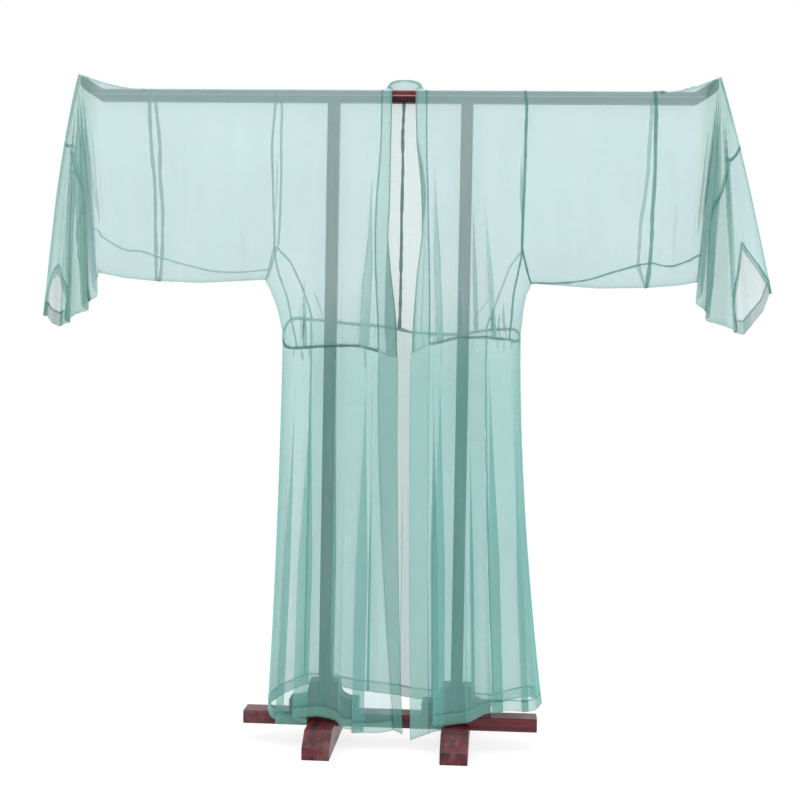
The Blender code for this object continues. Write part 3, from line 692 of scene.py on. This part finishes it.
# Sleeves
# Each sleeve is a long tube made of three widths of gauze and a narrow cuff. It lies over the bar, passes
# its upturned tip and falls in folds that fan out from there. Its seam runs along the bottom.
SLEEVE_WIDTH = 0.335
SECOND_SEAM = 0.630
CUFF_WIDTH = 0.028
MOUTH_DEPTH = 0.0110
MOUTH_START = 0.75
TIP_Z = 1.6855
RISE_START = 0.665
RISE_CURVE = 1.5
SLEEVE_START = (0.311, 0.318, 0.326, 0.332, 0.335)
# Lower edge of the sleeve along the bar: x, height
SLEEVE_BOTTOM = ((0.335, 1.1713), (0.500, 1.1610), (0.620, 1.1640), (0.700, 1.1710), (0.790, 1.1880))
# Second seam: height, x in front and behind
SECOND = {
    -1: ((1.166, 0.6145, 0.6065), (1.336, 0.6160, 0.6045), (1.424, 0.6185, 0.6125),
         (1.5095, 0.6285, 0.6160), (1.618, 0.6345, 0.6275), (1.650, 0.6310, 0.6310)),
    1: ((1.171, 0.6215, 0.6200), (1.230, 0.6270, 0.6005), (1.322, 0.6300, 0.6055),
        (1.459, 0.6340, 0.6225), (1.628, 0.6320, 0.6265), (1.650, 0.6300, 0.6300)),
}
# Hanging end, a row for each fold that fans from the tip of the bar: how far the cloth has turned from
# its upper edge (0) to the line under the tip (1), then where that fold ends
FAN = {
    -1: (
        (0.00, 0.9030, 0.0000, 1.0710),
        (0.13, 0.8930, -0.0180, 1.0540),
        (0.27, 0.8780, 0.0170, 1.0450),
        (0.40, 0.8620, -0.0200, 1.0490),
        (0.52, 0.8440, 0.0160, 1.0600),
        (0.64, 0.8180, -0.0180, 1.0820),
        (0.76, 0.7900, 0.0150, 1.0960),
        (0.88, 0.7750, -0.0110, 1.1250),
        (1.00, 0.7632, 0.0000, 1.1880),
    ),
    1: (
        (0.00, 0.9270, 0.0000, 1.1540),
        (0.13, 0.9130, -0.0180, 1.1110),
        (0.27, 0.8900, 0.0170, 1.0780),
        (0.40, 0.8660, -0.0200, 1.0510),
        (0.52, 0.8400, 0.0160, 1.0600),
        (0.64, 0.8020, -0.0180, 1.0790),
        (0.76, 0.7600, 0.0150, 1.0970),
        (0.88, 0.7520, -0.0110, 1.1300),
        (1.00, 0.7465, 0.0000, 1.1880),
    ),
}
FAN_DEPTH = ((0.0, 1.00), (0.25, 0.80), (0.60, 0.75), (0.90, 0.95), (1.0, 1.10))
# Folds of the sleeves on the bar, as for the bodice, with x measured outwards
SLEEVE_FOLDS = {
    -1: (
        (0.8080, 1.668, 0.7740, 1.190, 0.018, 0.015, 0.004),
        (0.7900, 1.640, 0.7500, 1.200, 0.022, 0.010, 0.004),
        (0.4100, 1.380, 0.3900, 1.170, 0.040, 0.012, 0.005),
        (0.6900, 1.300, 0.6700, 1.160, 0.030, 0.005, 0.004),
    ),
    1: (
        (0.7820, 1.668, 0.7560, 1.190, 0.018, 0.015, 0.004),
        (0.7660, 1.640, 0.7300, 1.200, 0.020, 0.010, 0.004),
        (0.7000, 1.520, 0.6840, 1.170, 0.026, 0.008, 0.004),
        (0.4300, 1.330, 0.4100, 1.170, 0.036, 0.008, 0.004),
    ),
}
# Front edge of the cuff, which is drawn up and shows the inside of the back: how far the cloth has turned
# from its upper edge, then the height where the front ends
MOUTH_EDGE = {
    -1: ((0.00, 1.0710), (0.08, 1.1150), (0.18, 1.1580), (0.30, 1.1780),
         (0.40, 1.1650), (0.47, 1.1050), (0.50, 1.0590)),
    1: ((0.00, 1.1540), (0.10, 1.1880), (0.22, 1.2280), (0.34, 1.2600),
        (0.42, 1.2050), (0.47, 1.1200), (0.50, 1.0600)),
}
# Turning folds of the hanging end: how far round the fan, how wide, how much the cloth doubles back
FAN_FOLDS = ((0.72, 0.15, 0.030), (0.90, 0.08, 0.014), (0.50, 0.09, 0.014))
# Share of the depth of the solids' folds that the cloth keeps between those
FAN_PLEAT_SHARE = 0.40


def sleeve_ring(u):
    """Row of the section and facing (-1 front, 1 back) at a part of the way round a sleeve."""
    step = u * 2 * SECTION_ROWS
    return (step, -1) if step <= SECTION_ROWS else (2 * SECTION_ROWS - step, 1)


def on_bar(side, row, facing, start, end, part):
    """A point of the sleeve between two places along the bar, given as functions of facing and height."""
    sign = side["sign"]
    drop, depth_armhole, depth_bar = smooth_row(SECTION, row / SECTION_ROWS)
    down = drop / SECTION[-1][0]
    level = CLOTH_TOP - drop
    x = lerp(start(facing, level, row), end(facing, level, row), part)
    tip_x = sleeve_end(side, down)
    risen = max(0.0, (x - RISE_START) / (tip_x - RISE_START))
    top = lerp(CLOTH_TOP, TIP_Z, risen**RISE_CURVE)
    z = lerp(top, column(SLEEVE_BOTTOM, 0, 1, x), down)
    along = (x - ARMHOLE_X) / (tip_x - ARMHOLE_X)
    y = facing * lerp(depth_armhole, depth_bar, min(max(along, 0.0) * 3, 1.0))
    calm = ease(drop * 9) * ease((1 - down) * 5) * ease((x - ARMHOLE_X) * 30) * ease((tip_x - x) * 30)
    across, depth = folded(SLEEVE_FOLDS[sign], x, z, facing)
    y += calm * (depth + ripple(x, z, facing, 0.0035, 11.0 * sign + facing))
    return sign * (x + calm * across), y, z


def sleeve_end(side, down):
    """x where the sleeve leaves the bar, from its tip to the line under it."""
    return lerp(side["tip_x"], FAN[side["sign"]][-1][1], down)


def on_fan(side, row, facing, beyond, length):
    """A point of the hanging part, where beyond is the distance along the sleeve past the tip."""
    sign = side["sign"]
    drop, _, half_depth = smooth_row(SECTION, row / SECTION_ROWS)
    down = drop / SECTION[-1][0]
    out = beyond / length
    reach = max(out, down)
    turn = math.atan2(max(down, 0.0), out) / (math.pi / 2) if reach > 0 else 1.0
    foot = [column(FAN[sign], 0, place_column, turn) for place_column in (1, 2, 3)]
    drawn = 1.0
    if facing < 0 and turn < 0.5:
        drawn = (TIP_Z - column(MOUTH_EDGE[sign], 0, 1, turn)) / (TIP_Z - foot[2])
    fallen = reach * lerp(1.0, drawn, ease(out * 1.6 - 0.6))
    bulge = side["bulge"] * math.sin(math.pi * min(reach, 1.0)**0.8) * (1 - turn)
    x = lerp(side["tip_x"], foot[0], fallen) + bulge
    z = lerp(TIP_Z, foot[2], fallen)
    for place, width, overlap in FAN_FOLDS:
        off = (turn - place) / width
        if abs(off) < 1:
            wave = math.sin(math.pi * off) * (1 + math.cos(math.pi * off)) / 2
            x += overlap * wave * ease(reach * 1.8)
    depth = half_depth * column(FAN_DEPTH, 0, 1, out)
    opened = max(0.0, out - MOUTH_START) / (1 - MOUTH_START)
    mouth = MOUTH_DEPTH * opened * math.sin(math.pi * min(max(down, 0.0), 1.0))
    uneven = 0.0022 * noise.noise(Vector((x * 30.0, 5.0 * facing, z * 9.0))) * ease(reach * 2)
    return sign * x, foot[1] * FAN_PLEAT_SHARE * reach + facing * (depth + mouth) + uneven, z


def sleeve_shapes(side):
    """The shapes of the three widths and the cuff, with distances along the sleeve."""
    sign = side["sign"]
    third = SLEEVE_WIDTH - (side["tip_x"] - SECOND_SEAM)
    cuff = third + SLEEVE_WIDTH
    length = cuff + CUFF_WIDTH

    def armhole(facing, level, row):
        below = max(row - ARMHOLE_ROW, 0.0)
        if below > 0:
            return float(np.interp(below, range(5), SLEEVE_START))
        return armhole_x(sign, facing, level) + SEAM_GAP / 2

    def second(facing, level, row):
        return column(SECOND[sign], 0, 1 if facing < 0 else 2, level)

    def tip(facing, level, row):
        return sleeve_end(side, (CLOTH_TOP - level) / SECTION[-1][0])

    def inner(u, v):
        row, facing = sleeve_ring(u)
        return on_bar(side, row, facing, armhole, second, v * 0.9995)

    def middle(u, v):
        row, facing = sleeve_ring(u)
        if v <= 0.5:
            return on_bar(side, row, facing, second, tip, v * 2)
        return on_fan(side, row, facing, (third - 0.0008) * (v - 0.5) * 2, length)

    def outer(u, v):
        row, facing = sleeve_ring(u)
        return on_fan(side, row, facing, lerp(third, cuff - 0.0008, v), length)

    def cuff_band(u, v):
        row, facing = sleeve_ring(u)
        return on_fan(side, row, facing, lerp(cuff, length, v), length)

    return inner, middle, outer, cuff_band


SLEEVE_FLAT = 0.954
SLEEVE_AROUND = 130
SECOND_SEAM_WIDTH = 0.0085
THIRD_SEAM_WIDTH = 0.0065
CUFF_SEAM_WIDTH = 0.0030
BOTTOM_SEAM_WIDTH = 0.0046
BOTTOM_STEPS = 60
# Where round a sleeve its front is searched for a height, and how often that stretch is halved
FRONT_SEARCH = (0.2, 0.499)
SEARCH_STEPS = 16
# The seam along the bottom has crept up the front of the flat tube: its heights at even steps from the
# armhole to the second seam, then on to the tip of the bar
BOTTOM_SEAM = {
    -1: ((1.196,), (1.188,), (1.190,), (1.206,), (1.226,), (1.238,), (1.241,), (1.262,), (1.294,)),
    1: ((1.172,), (1.173,), (1.182,), (1.205,), (1.224,), (1.219,), (1.219,), (1.232,), (1.246,)),
}
# Tucks of the middle width: at the bar beside the second seam, then under the tip
SLEEVE_TUCKS = (
    (0.040, 0.020, 0.110, 0.075, 0.0110),
    (0.035, 0.050, 0.118, 0.060, 0.0080),
    (0.045, 0.090, 0.105, 0.040, 0.0070),
    (0.130, 0.004, 0.205, 0.012, 0.0080),
    (0.050, 0.250, 0.100, 0.225, 0.0050),
    (0.040, 0.300, 0.080, 0.270, 0.0040),
    (0.060, 0.470, 0.160, 0.400, 0.0080),
    (0.150, 0.485, 0.310, 0.465, 0.0070),
    (0.200, 0.440, 0.330, 0.450, 0.0060),
)


def creep(shape, part, height):
    """How far round a sleeve its front has the given height."""
    low, high = FRONT_SEARCH
    for _ in range(SEARCH_STEPS):
        halfway = (low + high) / 2
        if shape(halfway, part)[2] > height:
            low = halfway
        else:
            high = halfway
    return low


for name, side in SIDES.items():
    shapes = sleeve_shapes(side)
    near_tip = abs(side["sign"] * side["tip_x"] + STAND_X)
    pile_up_shade = [(near_tip + beside, share) for beside, share in side["pile_up_shade"]]
    piled_shade = gauze("silk_gauze_piled_shade_" + name, SILK, SILK, GAUZE_COVER, pile_up_shade)
    cuff_silk = gauze("silk_cuff_" + name, SILK_DEEP, SILK_DEEP, DOUBLE_COVER)
    widths = (
        ("sleeve_inner_", shapes[0], 64, silk, "silk_gauze", (SLEEVE_FLAT, 0.315), None),
        ("sleeve_middle_", shapes[1], 72, piled_shade, "silk_gauze", (SLEEVE_FLAT, 0.335), 0.26),
        ("sleeve_outer_", shapes[2], 48, piled_shade, "silk_gauze", (SLEEVE_FLAT, 0.335), 0.16),
        ("cuff_", shapes[3], 6, cuff_silk, "silk_band", (SLEEVE_FLAT, 0.028), 0.0085),
    )
    for prefix, shape, along, material, slot, flat, area in widths:
        tube = hang(prefix + name + "_cloth", shape, SLEEVE_AROUND, along, material, closed=True)
        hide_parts(prefix + name)
    inner, middle, outer, cuff_band = shapes
    around = run_across(0.0, steps=160)
    sew("seam_second_" + name, [(middle, around)], SECOND_SEAM_WIDTH)
    sew("seam_third_" + name, [(outer, around)], THIRD_SEAM_WIDTH)
    sew("seam_cuff_" + name, [(cuff_band, around)], CUFF_SEAM_WIDTH)
    bottoms = []
    for shape, begun, share in ((inner, 0.0, 1.0), (middle, 0.5, 0.5)):
        path = []
        for step in range(BOTTOM_STEPS + 1):
            part = step / BOTTOM_STEPS
            height = smooth_row(BOTTOM_SEAM[side["sign"]], begun + part / 2)[0]
            path.append((creep(shape, part * share, height), part * share))
        bottoms.append((shape, path))
    sew("seam_bottom_" + name, bottoms, BOTTOM_SEAM_WIDTH)
    tuck("tucks_sleeve_" + name, middle, SLEEVE_TUCKS)

# Skirt
# Three shaped widths gathered a little into the waist seam: one round each side and one behind. They fall
# free in soft uneven folds that deepen towards the hem, and the stand's posts show through them.
WAIST_SEAM = 0.0012
HEM_WIDTH = 0.027
HEM_SEAM_WIDTH = 0.0026
BAND_THICKNESS = 0.0009
PANEL_ACROSS = 220
PANEL_ALONG = 110
FLARE = 1.7
FOLD_GROWTH = 1.2
# One row for each fold, from the front band round the side to the back seam: x and y at the waist,
# x, y and height at the hem
SKIRT_LEFT = (
    (-0.0443, -0.0200, 0.0140, -0.0600, 0.0500),
    (-0.0680, -0.0200, -0.0300, -0.0740, 0.0420),
    (-0.0900, -0.0200, -0.0720, -0.0500, 0.0425),
    (-0.1120, -0.0200, -0.1050, -0.0760, 0.0515),
    (-0.1340, -0.0200, -0.1330, -0.0520, 0.0660),
    (-0.1570, -0.0200, -0.1600, -0.0720, 0.0765),
    (-0.1800, -0.0200, -0.1870, -0.0540, 0.0775),
    (-0.2040, -0.0200, -0.2130, -0.0700, 0.0720),
    (-0.2270, -0.0200, -0.2390, -0.0500, 0.0550),
    (-0.2500, -0.0200, -0.2830, -0.0620, 0.0630),
    (-0.2790, -0.0130, -0.3040, -0.0440, 0.0860),
    (-0.2880, 0.0000, -0.3080, 0.0000, 0.0920),
    (-0.2620, 0.0175, -0.2780, 0.0560, 0.1050),
    (-0.2185, 0.0200, -0.2265, 0.0520, 0.1300),
)
SKIRT_RIGHT = (
    (0.0853, -0.0200, 0.1030, -0.0640, 0.0450),
    (0.1050, -0.0200, 0.1260, -0.0500, 0.0640),
    (0.1270, -0.0200, 0.1520, -0.0740, 0.0680),
    (0.1490, -0.0200, 0.1790, -0.0500, 0.0720),
    (0.1710, -0.0200, 0.2060, -0.0700, 0.0785),
    (0.1930, -0.0200, 0.2350, -0.0500, 0.0950),
    (0.2150, -0.0200, 0.2650, -0.0720, 0.1065),
    (0.2380, -0.0200, 0.2970, -0.0500, 0.1075),
    (0.2610, -0.0200, 0.3270, -0.0640, 0.1080),
    (0.2830, -0.0200, 0.3540, -0.0560, 0.1085),
    (0.3035, -0.0125, 0.3750, -0.0340, 0.1160),
    (0.3105, 0.0000, 0.3800, 0.0000, 0.1200),
    (0.2850, 0.0175, 0.3420, 0.0580, 0.1150),
    (0.2240, 0.0200, 0.2604, 0.0500, 0.0930),
)
SKIRT_BACK = (
    (-0.2179, 0.0200, -0.2250, 0.0520, 0.1300),
    (-0.1850, 0.0200, -0.1950, 0.0720, 0.1310),
    (-0.1530, 0.0200, -0.1620, 0.0500, 0.1290),
    (-0.1200, 0.0200, -0.1280, 0.0740, 0.1240),
    (-0.0870, 0.0200, -0.0920, 0.0520, 0.1190),
    (-0.0530, 0.0200, -0.0540, 0.0760, 0.1145),
    (-0.0200, 0.0200, -0.0160, 0.0540, 0.1125),
    (0.0150, 0.0200, 0.0230, 0.0740, 0.1065),
    (0.0500, 0.0200, 0.0640, 0.0520, 0.1015),
    (0.0850, 0.0200, 0.1050, 0.0740, 0.0975),
    (0.1200, 0.0200, 0.1450, 0.0500, 0.0950),
    (0.1550, 0.0200, 0.1850, 0.0720, 0.0930),
    (0.1890, 0.0200, 0.2220, 0.0500, 0.0925),
    (0.2234, 0.0200, 0.2590, 0.0500, 0.0930),
)
# Folds of the skirt, as for the bodice
SKIRT_FOLDS_FRONT = (
    (-0.0720, 1.100, -0.0760, 0.060, 0.038, 0.040, 0.008),
    (-0.2080, 1.100, -0.2220, 0.080, 0.040, 0.045, 0.008),
    (-0.2460, 1.040, -0.2740, 0.070, 0.024, 0.024, 0.006),
    (-0.1200, 0.860, -0.1240, 0.060, 0.040, 0.008, 0.006),
    (0.1100, 1.130, 0.1260, 0.060, 0.032, 0.036, 0.007),
    (0.2280, 1.120, 0.2720, 0.110, 0.030, 0.034, 0.008),
    (0.2880, 1.020, 0.3400, 0.110, 0.026, 0.024, 0.006),
    (0.1760, 0.800, 0.1960, 0.090, 0.036, 0.008, 0.006),
)
SKIRT_FOLDS_BACK = (
    (-0.1500, 1.100, -0.1600, 0.120, 0.030, 0.024, 0.010),
    (-0.0600, 1.060, -0.0640, 0.110, 0.030, 0.018, 0.010),
    (0.0200, 0.900, 0.0200, 0.110, 0.034, 0.012, 0.006),
    (0.0900, 1.100, 0.1100, 0.100, 0.032, 0.028, 0.010),
    (0.1800, 1.080, 0.2100, 0.090, 0.026, 0.018, 0.008),
)
# Tucks under the waist seam where each side is gathered
SKIRT_TUCKS = tuple(
    (place, 0.996, place + lean, 0.996 - length, width)
    for place, lean, length, width in (
        (0.41, -0.006, 0.026, 0.0050),
        (0.35, 0.006, 0.036, 0.0060),
        (0.29, -0.004, 0.024, 0.0050),
        (0.62, 0.004, 0.035, 0.0045),
        (0.88, 0.004, 0.060, 0.0060),
        (0.13, 0.004, 0.045, 0.0055),
    )
)
# The pleats of the solids are spread out to this share of their depth, about this middle depth
PLEAT_SHARE = 0.18
PLEAT_MIDDLE = 0.062


def skirt_point(values, t, calm):
    """A point of the skirt, t running from the waist seam (0) to the hem (1)."""
    waist_x, waist_y, hem_x, hem_y, hem_z = values
    x = lerp(waist_x, hem_x, t**FLARE)
    outward = -1.0 if waist_y < 0 else 1.0
    flat_front = ease(abs(waist_y) / BODY_DEPTH * 2 - 1)
    hem_y = lerp(hem_y, lerp(outward * PLEAT_MIDDLE, hem_y, PLEAT_SHARE), flat_front * calm)
    y = lerp(waist_y, hem_y, t**FOLD_GROWTH)
    z = lerp(waist_height(waist_x, waist_y) - WAIST_SEAM / 2, hem_z, t)
    calm *= ease(abs(waist_y) / BODY_DEPTH) * ease(t * 28)
    across, depth = folded(SKIRT_FOLDS_FRONT if outward < 0 else SKIRT_FOLDS_BACK, x, z, outward)
    y += calm * (depth + ripple(x, z, outward, 0.0030 + 0.0035 * t, 21.0 + outward))
    return x + calm * across, y, z


def skirt_shape(rows, start, end):
    """start and end are lengths of cloth left below the panel's upper and lower edges."""
    def shape(u, v):
        values = smooth_row(rows, 1 - u)
        fall = waist_height(values[0], values[1]) - values[4]
        top = 0.0 if start is None else 1 - start / fall
        calm = ease(min(u, 1 - u) * 24)
        return skirt_point(values, lerp(1 - end / fall, top, v), calm)
    return shape


for name, rows, flat, area in (
    ("left", SKIRT_LEFT, (0.46, 0.95), 0.40),
    ("right", SKIRT_RIGHT, (0.50, 0.93), 0.40),
    ("back", SKIRT_BACK, (0.62, 0.95), 0.46),
):
    # The back panel's lower colour is painted shade of its own
    painted_shade_colour = SILK_BACK_LOW_SHADE if name == "back" else SILK_LOW_SHADE
    skirt_silk = gauze("silk_gauze_skirt_" + name, SILK, painted_shade_colour, SKIRT_COVER[name])
    panel = skirt_shape(rows, None, HEM_WIDTH)
    cloth = hang("skirt_" + name + "_cloth", panel, PANEL_ACROSS, PANEL_ALONG, skirt_silk)
    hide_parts("skirt_" + name)
    edge = skirt_shape(rows, HEM_WIDTH, 0.0)
    hem = hang("hem_" + name + "_cloth", edge, PANEL_ACROSS, 5, double_silk, thickness=BAND_THICKNESS)
    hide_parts("hem_" + name)
    waist = run_across(0.998, steps=200)
    sew("seam_waist_" + name, [(panel, waist)], TREBLE_SEAM_WIDTH, dark_seam_silk)
    sew("seam_hem_" + name, [(edge, run_across(0.98, steps=220))], HEM_SEAM_WIDTH)
    tuck("tucks_skirt_" + name, panel, SKIRT_TUCKS)
    if name != "back":
        sew("seam_side_" + name, [(panel, run_up(0.004))])

# Front bands
# A strip of doubled gauze that carries the collar on down each front edge of the skirt, from the waist
# seam to the hem. The left one is folded over more and looks darker.
# Rows as for the skirt, from the opening to the panel's edge
FRONT_BAND_LEFT = (
    (0.0060, -0.0215, 0.0360, -0.0640, 0.0405),
    (-0.0190, -0.0205, 0.0250, -0.0615, 0.0465),
    (-0.0437, -0.0200, 0.0146, -0.0600, 0.0500),
)
FRONT_BAND_RIGHT = (
    (0.0370, -0.0215, 0.0560, -0.0680, 0.0270),
    (0.0600, -0.0205, 0.0790, -0.0670, 0.0360),
    (0.0847, -0.0200, 0.1024, -0.0640, 0.0450),
)
folded_silk = gauze("silk_gauze_front_band", SILK_FRONT_BAND, SILK_FRONT_BAND, DOUBLE_COVER)
for name, rows, material in (
    ("left", FRONT_BAND_LEFT, folded_silk),
    ("right", FRONT_BAND_RIGHT, double_silk),
):
    band = skirt_shape(rows, None, 0.0)
    edging = hang("front_band_" + name + "_cloth", band, 14, PANEL_ALONG, material, thickness=BAND_THICKNESS)
    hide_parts("front_band_" + name)

# Gussets
# A square of gauze folded under each arm, between bodice, sleeve and skirt, that lets the arm lift. It is
# sewn in along all its sides.
GUSSET_SKIRT_ROW = 9
GUSSET_TIP = 0.004


def gusset_edges(name, side):
    """The four edges of a gusset, each a function of a part from 0 to 1: lower, upper, front, back."""
    sign = side["sign"]
    rows = SKIRT_LEFT if name == "left" else SKIRT_RIGHT
    first = GUSSET_SKIRT_ROW / (len(rows) - 1)
    below = WAIST_ROW - ARMHOLE_ROW
    inner = sleeve_shapes(side)[0]

    def bodice_side(facing, part):
        row = WAIST_ROW - below * part
        x = sign * (bodice_edge(sign, row, facing) + CURVED_SEAM * (1 - part))
        point = np.array(bodice_point(sign, row, facing, x, flat=True))
        return point - (0.0, 0.0, GUSSET_TIP * ease((part - 0.75) * 4))

    def lower(part):
        x, y = smooth_row(rows, lerp(first, 1.0, part))[:2]
        return np.array((x, y, waist_height(x, y) + WAIST_SEAM / 2))

    def upper(part):
        row = SECTION_ROWS - below * abs(2 * part - 1)
        u = row / (2 * SECTION_ROWS)
        return np.array(inner(u if part <= 0.5 else 1 - u, 0.0)) - (0.0, 0.0, CURVED_SEAM)

    return lower, upper, lambda part: bodice_side(-1, part), lambda part: bodice_side(1, part)


for name, side in SIDES.items():
    lower, upper, front, back = gusset_edges(name, side)

    def gusset_shape(u, v):
        ruled = lerp(lower(u), upper(u), v) + lerp(front(v), back(v), u)
        corners = lerp(lerp(front(0.0), back(0.0), u), lerp(front(1.0), back(1.0), u), v)
        return tuple(ruled - corners)

    square = hang("gusset_" + name + "_cloth", gusset_shape, 40, 40)
    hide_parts("gusset_" + name)
    sew("seam_gusset_" + name, [
        (gusset_shape, run_up(0.004)), (gusset_shape, run_up(0.996)), (gusset_shape, run_across(0.996))])

# The floor, the light and the camera
# A white paper floor under even studio light, seen from a little right of the middle of the open front.
FLOOR = 14.0
floor_mesh = bpy.data.meshes.new("floor")
floor_corners = [(x * FLOOR, y * FLOOR, 0) for x, y in ((-1, -1), (1, -1), (1, 1), (-1, 1))]
floor_mesh.from_pydata(floor_corners, [], [(0, 1, 2, 3)])
floor = bpy.data.objects.new("floor", floor_mesh)
bpy.context.scene.collection.objects.link(floor)
paper = bpy.data.materials.new("white_paper")
paper.use_nodes = True
paper_shader = paper.node_tree.nodes["Principled BSDF"]
for socket, value in (
    ("Base Color", (0.22, 0.22, 0.23, 1.0)),
    ("Roughness", 0.45),
    ("Specular IOR Level", 0.0),
    ("Emission Color", (1.0, 1.0, 1.0, 1.0)),
    ("Emission Strength", 0.79),
):
    paper_shader.inputs[socket].default_value = value
floor_mesh.materials.append(paper)
floor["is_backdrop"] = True

world = bpy.data.worlds.new("white_studio")
world.use_nodes = True
background = world.node_tree.nodes["Background"]
background.inputs["Color"].default_value = (1.0, 1.0, 1.0, 1.0)
background.inputs["Strength"].default_value = 1.0
bpy.context.scene.world = world

for name, place, aim, size, power in (
    ("softbox_left", (-2.4, -3.4, 3.0), (0.0, 0.0, 0.9), 1.8, 60.0),
    ("softbox_right", (2.8, -3.0, 2.6), (0.0, 0.0, 0.9), 1.8, 35.0),
    ("softbox_above", (0.0, -0.6, 4.2), (0.0, 0.0, 0.6), 2.6, 60.0),
):
    light = bpy.data.lights.new(name, "AREA")
    light.energy = power
    light.size = size
    lamp = bpy.data.objects.new(name, light)
    lamp.location = place
    lamp.rotation_euler = (Vector(aim) - Vector(place)).to_track_quat("-Z", "Y").to_euler()
    bpy.context.scene.collection.objects.link(lamp)

CAMERA_PLACE = (0.2525 + STAND_X, -3.6828, 0.9757)
CAMERA_TURN = math.radians(-3.7478)
CAMERA_TILT = math.radians(1.5950)
CAMERA_ROLL = math.radians(1.0014)
LENS = 65.84
forward = Vector((
    math.sin(CAMERA_TURN) * math.cos(CAMERA_TILT),
    math.cos(CAMERA_TURN) * math.cos(CAMERA_TILT),
    -math.sin(CAMERA_TILT),
))
level = forward.cross(Vector((0.0, 0.0, 1.0))).normalized()
above = level.cross(forward)
right = level * math.cos(CAMERA_ROLL) + above * math.sin(CAMERA_ROLL)
up = above * math.cos(CAMERA_ROLL) - level * math.sin(CAMERA_ROLL)
camera_data = bpy.data.cameras.new("camera")
camera_data.lens = LENS
camera_data.sensor_width = 36.0
camera = bpy.data.objects.new("camera", camera_data)
camera.matrix_world = Matrix((right, up, -forward)).transposed().to_4x4()
camera.location = CAMERA_PLACE
bpy.context.scene.collection.objects.link(camera)
bpy.context.scene.camera = camera
bpy.context.scene.view_settings.view_transform = "Standard"

model_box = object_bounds()
size = {"cad": [list(corner) for corner in cad_box], "model": [list(corner) for corner in model_box]}
